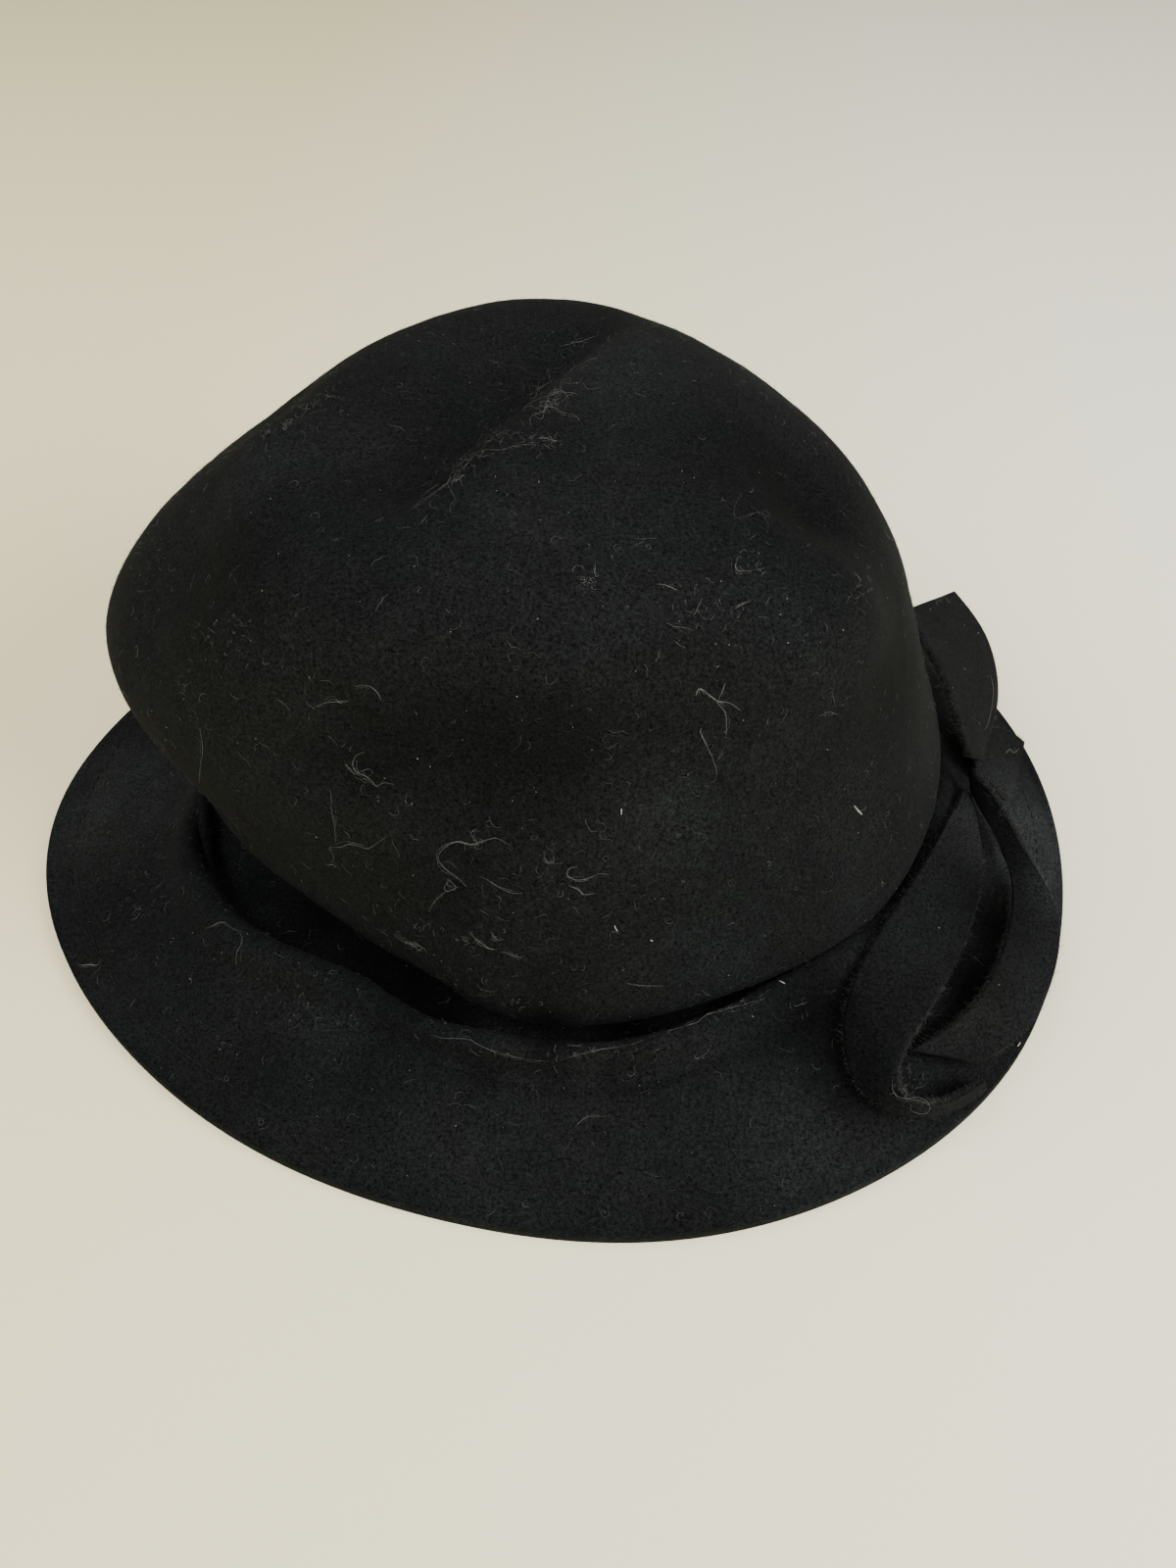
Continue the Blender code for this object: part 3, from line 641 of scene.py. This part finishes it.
def plain_felt_middle(shares):
    """The felt's middle surface as a grid, with the crown's dents and crease pressed in."""
    controls = np.array([profile_controls(a) for a in ANGLES])
    grid = np.einsum("sc,acx->asx", open_weights(shares, controls.shape[1]), controls)
    normals = grid_normals(grid)
    flat = grid.reshape(-1, 3)
    depth = crease_depth(flat)
    for row in DENTS.values():
        depth = depth + dent_depth(flat, *row)
    depth = depth.reshape(grid.shape[:2]) * (shares < CROWN_SHARE)
    return grid - normals * depth[:, :, None]


def length_along(line):
    """How far each point of a line is from its start."""
    return np.concatenate([[0], np.cumsum(norm(np.diff(line, axis=0), axis=1))])


def edge_distance(grid):
    """How far each point of a skin is from the brim's edge, along the felt."""
    steps = norm(np.diff(grid, axis=1), axis=2)
    return np.concatenate([np.cumsum(steps[:, ::-1], 1)[:, ::-1], np.zeros((len(grid), 1))], 1)


def felt_skins(shares):
    """Outer and inner skins of the felt, with a turned hem and a flat foot under the brim's edge."""
    middle = felt_middle(shares)
    normals = grid_normals(middle)
    outer = middle + normals * FELT / 2
    hem = np.clip((HEM_WIDTH - edge_distance(middle)) / (0.3 * HEM_WIDTH) + 0.5, 0, 1)
    inner = middle - normals * (FELT / 2 + HEM_FELT * hem)[:, :, None]
    foot_out = middle[:, -1].copy()
    foot_out[:, 2] = 0
    foot_in = foot_out.copy()
    foot_in[:, :2] -= unit(foot_out[:, :2]) * FOOT_WIDTH
    inner[:, :, 2] = np.maximum(inner[:, :, 2], 0)
    inner[:, -1] = foot_in
    outer[:, -1] = middle[:, -1] + np.array([0, 0, FELT / 2])
    return outer, inner, foot_out


def strip_edges(rows):
    """Both cut edges of a strip as smooth curves over the brim."""
    edges = []
    for side in (0, 3):
        points = np.array([brim_top(radians(row[side]), row[side + 1]) for row in rows])
        points[:, 2] += np.array([row[side + 2] for row in rows]) * STRIP_WIDTH
        edges.append(open_weights(np.linspace(0, 1, BOW_STEPS), len(rows)) @ points)
    return edges


random = np.random.default_rng(7)
FORWARD = np.array([0, cos(radians(CAMERA_ELEVATION)), -sin(radians(CAMERA_ELEVATION))])
UPWARD = np.array([0, sin(radians(CAMERA_ELEVATION)), cos(radians(CAMERA_ELEVATION))])
CAMERA_PLACE = np.array(CAMERA_TARGET) - FORWARD * CAMERA_DISTANCE


def picture_ray(across, down):
    """The direction from the camera through a pixel of the photograph."""
    right = (across - PHOTO_WIDTH / 2) / PHOTO_FOCAL
    up = (PHOTO_HEIGHT / 2 - down) / PHOTO_FOCAL
    return Vector(FORWARD + right * np.array([1, 0, 0]) + up * UPWARD).normalized()


def soft_lumps(points, length, seed):
    """Smooth unevenness between about -1 and 1, with waves of about the length given."""
    waves = np.random.default_rng(seed)
    total = np.zeros(len(points))
    for _ in range(LUMP_WAVES):
        direction = unit(waves.normal(size=3))
        turn = 2 * pi / (length * waves.uniform(0.6, 1.7))
        total += np.sin(points @ direction * turn + waves.uniform(0, 2 * pi))
    return total / np.sqrt(LUMP_WAVES)


def new_object(name, data):
    """An object of the scene."""
    thing = bpy.data.objects.new(name, data)
    bpy.context.scene.collection.objects.link(thing)
    return thing


def new_mesh(name, vertices, faces, material, smooth=True):
    """An object from an array of vertices and a list of faces."""
    data = bpy.data.meshes.new(name)
    data.from_pydata(vertices.tolist(), [], faces)
    data.materials.append(material)
    if smooth:
        data.shade_smooth()
    data.update()
    return new_object(name, data)


def closed_piece(name, rings, tips, material, turned=False):
    """A closed piece from rings of points, with a fan of faces round a tip at each end."""
    around = len(rings[0])
    vertices = np.concatenate([*rings, *tips])
    i = np.arange(around)
    after = (i + 1) % around
    a = np.arange(len(rings) - 1)[:, None] * around
    faces = np.stack([a + i, a + around + i, a + around + after, a + after], -1).reshape(-1, 4).tolist()
    last_ring = (len(rings) - 1) * around
    faces += np.stack([np.full(around, len(vertices) - 2), i, after], 1).tolist()
    faces += np.stack([np.full(around, len(vertices) - 1), last_ring + after, last_ring + i], 1).tolist()
    if turned:
        faces = [face[::-1] for face in faces]
    piece = new_mesh(name, vertices, faces, material)
    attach(piece, "root")
    return piece


def felt_middle(shares):
    """The felt's middle surface with the fold's fine relief: rounded lip, valley, crisp recess and slit."""
    grid = plain_felt_middle(shares)
    turn = np.degrees(ANGLES)
    columns = np.array(FOLDS).T
    ridge, valley, sink = (np.interp(turn, columns[0], column)[:, None] for column in columns[1:])
    lips = np.array([crown_point(a, section_at(a)["lip_out"], 0) for a in ANGLES])
    out = norm(grid[:, :, :2], axis=2)
    beyond = out - norm(lips[:, :2], axis=1)[:, None]
    on_brim = np.clip((shares - BRIM_SHARE) / SHARE_FADE, 0, 1)[None]
    lift = ridge * bell(beyond - RIDGE_REACH[0], RIDGE_REACH[1])
    lift -= valley * bell(beyond - VALLEY_REACH[0], VALLEY_REACH[1])
    inside = np.clip((SINK_REACH[0] - beyond) / SINK_REACH[1], 0, 1)
    floor = np.clip((shares - FLOOR_SHARE) / SHARE_FADE, 0, 1)[None]
    lift = lift * on_brim - sink * inside * inside * (3 - 2 * inside) * floor
    slit = bell(turn - SLIT["around"], SLIT["half_turn"])[:, None]
    slit = slit * bell(out - SLIT["out"], SLIT["half_width"]) * floor
    grid[:, :, 2] = np.maximum(grid[:, :, 2] + lift - SLIT["depth"] * slit, FELT)
    wall, lip = (np.interp(shares, span, (0, 1, 1, 0))[None] for span in (GAP_WALL, GAP_LIP))
    wall, lip = (span * span * (3 - 2 * span) for span in (wall, lip))
    for around, half_turn, wall_in, wall_up, lip_out, lip_down in GAPS.values():
        near = bell(turn - around, half_turn)[:, None]
        grid[:, :, :2] *= (1 + near * (lip * lip_out - wall * wall_in) / np.maximum(out, 1e-6))[:, :, None]
        grid[:, :, 2] += near * (wall * wall_up - lip * lip_down)
    return grid


def felt_piece(material):
    """The felt body as one closed mesh, with soft unevenness and the hem's stitch groove."""
    hem_shares = np.linspace(*HEM_SPAN, HEM_EXTRA_STEPS)
    outer, inner, foot_out = felt_skins(np.unique(np.concatenate([profile_shares(), hem_shares])))
    flat = outer.reshape(-1, 3)
    lumps = sum(height * soft_lumps(flat, wave, seed) for height, wave, seed in LUMPS)
    to_edge = edge_distance(outer)
    groove = STITCH_GROOVE * bell(to_edge - STITCH_INSET, STITCH_GROOVE_WIDTH)
    fade = np.clip(to_edge / LUMP_FADE, 0, 1)
    outer = outer + grid_normals(outer) * (lumps.reshape(groove.shape) * fade - groove)[:, :, None]
    rings = [outer[:, i] for i in range(1, outer.shape[1])] + [foot_out]
    rings += [inner[:, i] for i in range(inner.shape[1] - 1, 0, -1)]
    tips = (outer[:, 0].mean(0)[None], inner[:, 0].mean(0)[None])
    return closed_piece("felt_hat", rings, tips, material), outer, to_edge


def strip_piece(name, rows, material, seed):
    """A bow strip as a closed mesh with rounded cut edges, a little uneven."""
    left, right = strip_edges(rows)
    shares = np.linspace(0, 1, BOW_ACROSS + 1)
    middle = left[:, None] + (right - left)[:, None] * shares[None, :, None]
    normals = unit(np.cross(np.gradient(middle, axis=1), np.gradient(middle, axis=0)))
    height, wave = BOW_LUMPS
    lumps = soft_lumps(middle.reshape(-1, 3), wave, seed).reshape(middle.shape[:2])
    middle = middle + normals * (height * lumps)[:, :, None]
    half = STRIP_FELT / 2
    round_in = CUT_ROUND * unit(right - left)
    turns = np.linspace(0, pi, CUT_STEPS)
    section = [middle[:, j] + normals[:, j] * half for j in range(1, BOW_ACROSS)]
    section += [right + round_in * (sin(turn) - 1) + normals[:, -1] * half * cos(turn) for turn in turns]
    section += [middle[:, j] - normals[:, j] * half for j in range(BOW_ACROSS - 1, 0, -1)]
    section += [left - round_in * (sin(turn) - 1) - normals[:, 0] * half * cos(turn) for turn in turns]
    rings = np.array(section).transpose(1, 0, 2)
    tips = (rings[:1].mean(1), rings[-1:].mean(1))
    return closed_piece(name, rings, tips, material, turned=True), left, right, normals


def hairs(name, paths, radii, material):
    """A piece of fibres, three-sided tubes: paths are fibres by points by 3, radii one for each."""
    count, steps, _ = paths.shape
    along = unit(np.gradient(paths, axis=1))
    helper = np.where(np.abs(along[..., 2:3]) < 0.9, np.array([0, 0, 1.0]), np.array([1.0, 0, 0]))
    first = unit(np.cross(along, helper))
    second = np.cross(along, first)
    taper = np.sin(np.linspace(0.12 * pi, 0.88 * pi, steps)) ** 0.5
    size = radii[:, None, None] * taper[None, :, None]
    rings = [paths + size * (cos(t) * first + sin(t) * second) for t in (0, 2 * pi / 3, 4 * pi / 3)]
    vertices = np.stack(rings, 2).reshape(-1, 3)
    fibre = np.arange(count)[:, None, None] * steps * 3
    step = np.arange(steps - 1)[None, :, None] * 3
    side = np.arange(3)[None, None, :]
    a = fibre + step + side
    b = fibre + step + (side + 1) % 3
    faces = np.stack([a, b, b + 3, a + 3], -1).reshape(-1, 4)
    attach(new_mesh(name, vertices, faces.tolist(), material), "root")


def scatter(grid, count, seed):
    """Random places on a closed grid by area, each with its normal and two directions in the surface."""
    pick = np.random.default_rng(seed)
    a = grid[:, :-1]
    b = grid[:, 1:]
    c = np.roll(grid, -1, 0)[:, :-1]
    area = norm(np.cross(b - a, c - a), axis=2)
    chance = area.ravel() / area.sum()
    chosen = pick.choice(len(chance), count, p=chance)
    i, j = np.unravel_index(chosen, area.shape)
    u, v = pick.random((2, count, 1))
    place = a[i, j] + (b - a)[i, j] * u + (c - a)[i, j] * v
    first = unit((c - a)[i, j])
    normal = unit(np.cross((b - a)[i, j], first))
    return place, normal, first, np.cross(normal, first)


def curly_paths(place, normal, first, second, lengths, seed, steps, curl, rise):
    """Fibres that lie on the surface from their places, turning at random as they go."""
    pick = np.random.default_rng(seed)
    count = len(place)
    heading = pick.uniform(0, 2 * pi, count)
    turn = pick.normal(0, curl, count)
    point = place + normal * FIBRE_LIES
    paths = [point]
    for k in range(1, steps):
        heading = heading + turn / steps + pick.normal(0, curl * 0.35, count) / np.sqrt(steps)
        lift = rise * np.sin(pi * k / (steps - 1) * pick.uniform(0.4, 1.2, count))
        onward = np.cos(heading)[:, None] * first + np.sin(heading)[:, None] * second
        point = point + (lengths / (steps - 1))[:, None] * onward
        paths.append(point + normal * lift[:, None])
    return np.stack(paths, 1)


def standing_paths(place, normal, first, second, lengths, seed):
    """Short fibres that stand off the surface and bend over."""
    pick = np.random.default_rng(seed)
    side = pick.normal(0, 0.7, (len(place), 2))
    lean = side[:, :1] * first + side[:, 1:] * second
    reach = lengths[:, None]
    middle = place + reach * 0.5 * (0.8 * normal + 0.5 * lean)
    end = place + reach * (0.9 * normal + 1.1 * lean)
    return np.stack([place, middle, end], 1)


def scattered_fibres(name, grid, material):
    """One of the named sets of fibres that chance places on a closed grid."""
    count, seed, length, radius, *lie = FIBRES[name]
    path = curly_paths if lie else standing_paths
    paths = path(*scatter(grid, count, seed), random.uniform(*length, count), seed + 1, *lie)
    hairs(name, paths, random.uniform(*radius, count), material)


def smooth_line(points, steps):
    """A Catmull-Rom line through points, evenly sampled by step."""
    p = np.array(points, float)
    p = np.vstack([2 * p[0] - p[1], p, 2 * p[-1] - p[-2]])
    out = []
    spans = len(p) - 3
    for share in np.linspace(0, spans - 1e-6, steps):
        k = int(share)
        t = share - k
        a, b, c, d = p[k:k + 4]
        squared, cubed = (2 * a - 5 * b + 4 * c - d) * t**2, (3 * b - a - 3 * c + d) * t**3
        out.append(0.5 * (2 * b + (c - a) * t + squared + cubed))
    return np.array(out)


def tree_of(pieces):
    """One search tree over several pieces' meshes."""
    vertices, faces = [], []
    for piece in pieces:
        start = len(vertices)
        vertices += [v.co.copy() for v in piece.data.vertices]
        faces += [[start + i for i in p.vertices] for p in piece.data.polygons]
    return BVHTree.FromPolygons(vertices, faces)


def laid_line(tree, line, lift):
    """A line of picture places laid on what the camera sees there, or None where it leaves the hat."""
    points = []
    for across, down in line:
        hit, normal, _, _ = tree.ray_cast(Vector(CAMERA_PLACE), picture_ray(across, down))
        if hit is None:
            return None
        points.append(np.array(hit + normal * lift))
    points = np.array(points)
    steps = norm(np.diff(points, axis=0), axis=1)
    return None if steps.max() > LONGEST_STEP * np.median(steps) + STEP_SLACK else points


def placed(lint_table):
    """Each row of a table of lint: its thickness, and its places as pairs."""
    return [(thickness, np.reshape(places, (-1, 2))) for thickness, *places in lint_table.values()]


def lint_lines(tree):
    """The named lint fibres, each with a finer strand or two beside it."""
    for thickness, places in placed(LINT):
        for strand, (shift, radius) in enumerate(STRANDS):
            line = smooth_line(places + random.normal(0, shift, (len(places), 2)), LINT_POINTS)
            line += np.cumsum(random.normal(0, WANDER, (LINT_POINTS, 2)), 0) * WANDER_SHARE
            start = random.integers(*SIDE_START) if strand else 0
            end = random.integers(*SIDE_END) if strand else LINT_POINTS
            line = smooth_line(line[start:end:3], LINT_POINTS)
            points = laid_line(tree, line, LINT_LIES)
            if points is None:
                continue
            waves = np.linspace(0, random.uniform(2, 12), LINT_POINTS) + random.uniform(0, 6)
            points[:, 2] += LINT_LIFT * (1 + np.sin(waves))
            yield points, thickness * radius


def flake_lines(tree):
    """Flakes and specks, each a short thick fibre."""
    for width, places in placed(FLAKES):
        points = laid_line(tree, smooth_line(places, FLAKE_POINTS), 2 * LINT_LIES)
        if points is not None:
            yield points, width * FLAKE_RADIUS
    for width, places in placed(SPECKS):
        for place in places:
            turn = random.uniform(0, pi)
            half = np.array([cos(turn), sin(turn)]) * random.uniform(0.2, 1.1)
            points = laid_line(tree, smooth_line([place - half, place + half], FLAKE_POINTS), SPECK_LIES)
            if points is not None:
                yield points, width * SPECK_RADIUS * random.uniform(0.6, 1.2)


def tuft_lines(tree):
    """Curly fibres of the tufts, laid on the hat."""
    for across, down, spread_across, spread_down, turn, count, length in TUFTS.values():
        lean = radians(turn)
        for _ in range(count):
            away = random.normal(0, 1, 2) * TUFT_SPREAD * np.array([spread_across, spread_down])
            start = np.array([across, down]) + away @ [[cos(lean), sin(lean)], [-sin(lean), cos(lean)]]
            heading = lean + random.normal(0, 0.9) + pi * random.integers(0, 2)
            bend = random.normal(0, 0.28)
            reach = length * random.uniform(0.35, 1.3) / TUFT_STEPS
            line = [start]
            for _ in range(TUFT_STEPS):
                heading += bend + random.normal(0, 0.32)
                line.append(line[-1] + reach * np.array([cos(heading), sin(heading)]))
            points = laid_line(tree, line, LINT_LIES)
            if points is not None:
                points[1:-1, 2] += random.uniform(0, TUFT_LIFT)
                yield points, random.uniform(*TUFT_RADIUS)


def feed(socket, value):
    """Set a socket to a value, or join it to another node's output."""
    if isinstance(value, bpy.types.NodeSocket):
        socket.id_data.links.new(value, socket)
    else:
        socket.default_value = value


def shader_node(near, kind, **values):
    """A new node in the material of a socket, with its inputs fed by name."""
    node = near.id_data.nodes.new(kind)
    for name, value in values.items():
        feed(node.inputs[name.replace("_", " ")], value)
    return node


def noise(place, scale, detail=3.0, roughness=0.55, distortion=0.0):
    """A noise texture read at a place."""
    node = shader_node(place, "ShaderNodeTexNoise", Vector=place, Scale=scale, Detail=detail,
                       Roughness=roughness, Distortion=distortion)
    return node.outputs["Fac"]


def ramp(value, low, high, low_out=0.0, high_out=1.0):
    """A value stretched from one range to another."""
    node = shader_node(value, "ShaderNodeMapRange", Value=value, From_Min=low, From_Max=high,
                       To_Min=low_out, To_Max=high_out)
    return node.outputs["Result"]


def combine(kind, first, second):
    """A socket's value joined with another value by a math node."""
    node = shader_node(first, "ShaderNodeMath")
    node.operation = kind
    feed(node.inputs[0], first)
    feed(node.inputs[1], second)
    return node.outputs[0]


def toned(place, level, painted_shade_and_light):
    """A level of tone darkened or lightened round each place of painted shade and light."""
    for *middle, reach, tone_there in painted_shade_and_light.values():
        away = shader_node(place, "ShaderNodeVectorMath")
        away.operation = "DISTANCE"
        feed(away.inputs[0], place)
        feed(away.inputs[1], [length / 1000 for length in middle])
        change = ramp(away.outputs["Value"], 0.0, reach / 1000, tone_there)
        change.node.interpolation_type = "SMOOTHSTEP"
        level = combine("MULTIPLY", level, change)
    return level


def mixed(share, first, second, clamp=True):
    """A colour between two by a share."""
    node = shader_node(share, "ShaderNodeMix")
    node.data_type = "RGBA"
    node.clamp_factor = clamp
    for slot, value in ((0, share), (6, first), (7, second)):
        feed(node.inputs[slot], value)
    return node.outputs[2]


def new_material(name, roughness, specular):
    """A node material with its shader and the place on the object that its textures read."""
    material = bpy.data.materials.new(name)
    material.use_nodes = True
    shader = material.node_tree.nodes["Principled BSDF"]
    shader.inputs["Roughness"].default_value = roughness
    shader.inputs["Specular IOR Level"].default_value = specular
    return material, shader, material.node_tree.nodes.new("ShaderNodeTexCoord").outputs["Object"]


def felt_material(name, tone):
    """Black wool felt: matted fibres on a darker ground, faint patches, painted shade and light in places,
    soft sheen, fibrous surface.
    """
    material, shader, place = new_material(name, 0.92, 0.03)
    shader.inputs["Sheen Weight"].default_value = 0.004
    shader.inputs["Sheen Roughness"].default_value = 0.55
    streaks = []
    for turn, stretch in STREAKS:
        mapping = shader_node(place, "ShaderNodeMapping", Vector=place, Scale=stretch,
                              Rotation=(turn, 0.6 * turn, 1.3 * turn))
        streak = noise(mapping.outputs["Vector"], 1.0, 2.0, 0.5, 0.6)
        streaks.append(ramp(streak, *STREAK_SPAN))
    hair = combine("MAXIMUM", combine("MAXIMUM", streaks[0], streaks[1]), streaks[2])
    level = 1.0
    for scale, detail, roughness, *span in MOTTLING.values():
        level = combine("MULTIPLY", ramp(noise(place, scale, detail, roughness), *span), level)
    level = combine("ADD", level, combine("MULTIPLY", hair, STREAK_TONE))
    # Painted shade and light: the tone darkened in recesses, creases and under the bow, lightened where
    # light falls
    level = toned(place, level, PAINTED_SHADE_AND_LIGHT)
    ends = [(*[TONE_REACH * c * k for c, k in zip(tone, hue)], 1) for hue in (COOL, WARM)]
    hue = mixed(ramp(noise(place, 34.0, 2.0), 0.40, 0.60), *ends)
    share = combine("MULTIPLY", level, 1 / TONE_REACH)
    feed(shader.inputs["Base Color"], mixed(share, BLACK, hue, clamp=False))
    surface = noise(place, SURFACE_SCALE, 4.0, 0.7)
    height = combine("ADD", combine("MULTIPLY", hair, STREAK_RISE), surface)
    bump = shader_node(place, "ShaderNodeBump", Strength=0.45, Distance=0.00035, Height=height)
    feed(shader.inputs["Normal"], bump.outputs["Normal"])
    return material


def plain_material(name, colour, painted_shade_and_light):
    """A matt material whose colour wanders a little, for threads and lint, with painted shade and light
    round any places given.
    """
    material, shader, place = new_material(name, 0.85, 0.10)
    level = ramp(noise(place, 260.0, 2.0), 0.3, 0.7, 0.35, 1.0)
    # Painted shade and light round the places given
    level = toned(place, level, painted_shade_and_light)
    share = combine("MULTIPLY", level, 1 / TONE_REACH)
    mix = mixed(share, BLACK, (*[TONE_REACH * c for c in colour], 1))
    feed(shader.inputs["Base Color"], mix)
    return material


def add_camera():
    """The camera at the photograph's place and angle."""
    data = bpy.data.cameras.new("camera")
    data.sensor_width = SENSOR
    data.lens = PHOTO_FOCAL / PHOTO_HEIGHT * SENSOR
    data.clip_start = 0.01
    camera = new_object("camera", data)
    camera.location = CAMERA_PLACE
    camera.rotation_euler = (pi / 2 - radians(CAMERA_ELEVATION), 0, 0)
    bpy.context.scene.camera = camera


def add_light(name, place, size, power, colour):
    """A soft square light aimed at the hat."""
    data = bpy.data.lights.new(name, "AREA")
    data.energy = power
    data.size = size
    data.color = colour
    light = new_object(name, data)
    light.location = place
    light.rotation_euler = (Vector(LIGHT_AIM) - Vector(place)).to_track_quat("-Z", "Y").to_euler()


def add_floor():
    """A plain pale floor with painted light: lighter towards the right, where the key light falls."""
    material, shader, place = new_material("floor", 0.9, 0.1)
    split = shader_node(place, "ShaderNodeSeparateXYZ", Vector=place)
    colour = mixed(ramp(split.outputs["X"], *FLOOR_SPAN), FLOOR_SHADED_LEFT, FLOOR_LIT_RIGHT)
    feed(shader.inputs["Base Color"], colour)
    corners = FLOOR_HALF * np.array([(-1, -1, 0), (1, -1, 0), (1, 1, 0), (-1, 1, 0)])
    new_mesh("floor", corners, [(0, 1, 2, 3)], material, smooth=False)


add_camera()
add_floor()
for name, light in LIGHTS.items():
    add_light(name, *light)
world = bpy.data.worlds.new("studio")
world.use_nodes = True
background = world.node_tree.nodes["Background"]
background.inputs["Color"].default_value = STUDIO_COLOUR
background.inputs["Strength"].default_value = STUDIO_STRENGTH
bpy.context.scene.world = world

felt = felt_material("black_felt_body", (0.0045, 0.0051, 0.0051))
bow_felt = felt_material("black_felt_bow", (0.0048, 0.0053, 0.0053))
# The nap's fibres take the same painted shade and light as the felt
nap = plain_material("nap_fibre", (0.038, 0.041, 0.039), PAINTED_SHADE_AND_LIGHT)
lint = plain_material("lint_fibre", (0.36, 0.36, 0.335), {})
grey_lint = plain_material("grey_lint", (0.18, 0.183, 0.175), {})
fuzz_fibre = plain_material("fuzz_fibre", (0.085, 0.087, 0.083), {})
thread = plain_material("hem_thread", (0.012, 0.012, 0.012), {})

body, outer, to_edge = felt_piece(felt)
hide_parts("felt_body")

bow = []
edge_fuzz = []
for seed, (name, rows) in enumerate(STRIPS.items()):
    piece, left, right, normals = strip_piece("felt_" + name, rows, bow_felt, BOW_SEED + seed)
    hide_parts(name)
    bow.append(piece)
    outward = unit(right - left)
    edge_fuzz += [(left, -outward, normals[:, 0]), (right, outward, normals[:, -1])]

# Hem stitches
columns = np.abs(to_edge - STITCH_INSET).argmin(1)
line = outer[np.arange(AROUND_STEPS), columns]
line = np.vstack([line, line[:1]])
length = length_along(line)
starts = np.arange(0, length[-1] - STITCH_PITCH, STITCH_PITCH)
starts = starts + random.normal(0, STITCH_JITTER, len(starts))
stitches = []
for start in starts:
    at = start + np.linspace(0, STITCH_LENGTH, STITCH_POINTS)
    points = np.stack([np.interp(at, length, line[:, k]) for k in range(3)], 1)
    points[:, 2] += STITCH_RISE * np.sin(np.linspace(0, pi, STITCH_POINTS)) - STITCH_SINK
    stitches.append(points)
hairs("hem_stitches", np.array(stitches), np.full(len(stitches), STITCH_THREAD / 2), thread)

# Nap, stray lint on every side, and the lint that the photograph shows from the front
for name, material in zip(FIBRES, (nap, nap, nap, grey_lint, lint)):
    scattered_fibres(name, outer, material)
tree = tree_of([body] + bow)
for name, lines, material in (
    ("lint_threads", lint_lines(tree), lint),
    ("lint_flakes", flake_lines(tree), lint),
    ("lint_tufts", tuft_lines(tree), grey_lint),
):
    paths, radii = map(np.array, zip(*lines))
    hairs(name, paths, radii, material)

# Fuzz along the bow's cut edges
places, headings = [], []
for line, outward, normal in edge_fuzz:
    each = (FUZZ_COUNT, 1)
    at = random.uniform(0, len(line) - 1.001, FUZZ_COUNT)
    k = at.astype(int)
    t = (at - k)[:, None]
    across = normal[k] * random.uniform(-FUZZ_SPREAD, FUZZ_SPREAD, each)
    places.append(line[k] * (1 - t) + line[k + 1] * t + across)
    heading = outward[k] * random.uniform(0.2, 1.0, each) + normal[k] * random.normal(0, 0.7, each)
    headings.append(heading + random.normal(0, 0.5, (FUZZ_COUNT, 3)))
places = np.concatenate(places)
headings = unit(np.concatenate(headings))
lengths = random.uniform(*FUZZ_LENGTH, len(places))[:, None]
bend = random.normal(0, 0.45, headings.shape)
middle = places + headings * lengths * 0.5
end = places + (headings + bend) * lengths
paths = np.stack([places - headings * FUZZ_ROOT, middle, end], 1)
hairs("cut_edge_fuzz", paths, random.uniform(*FUZZ_RADIUS, len(places)), fuzz_fibre)
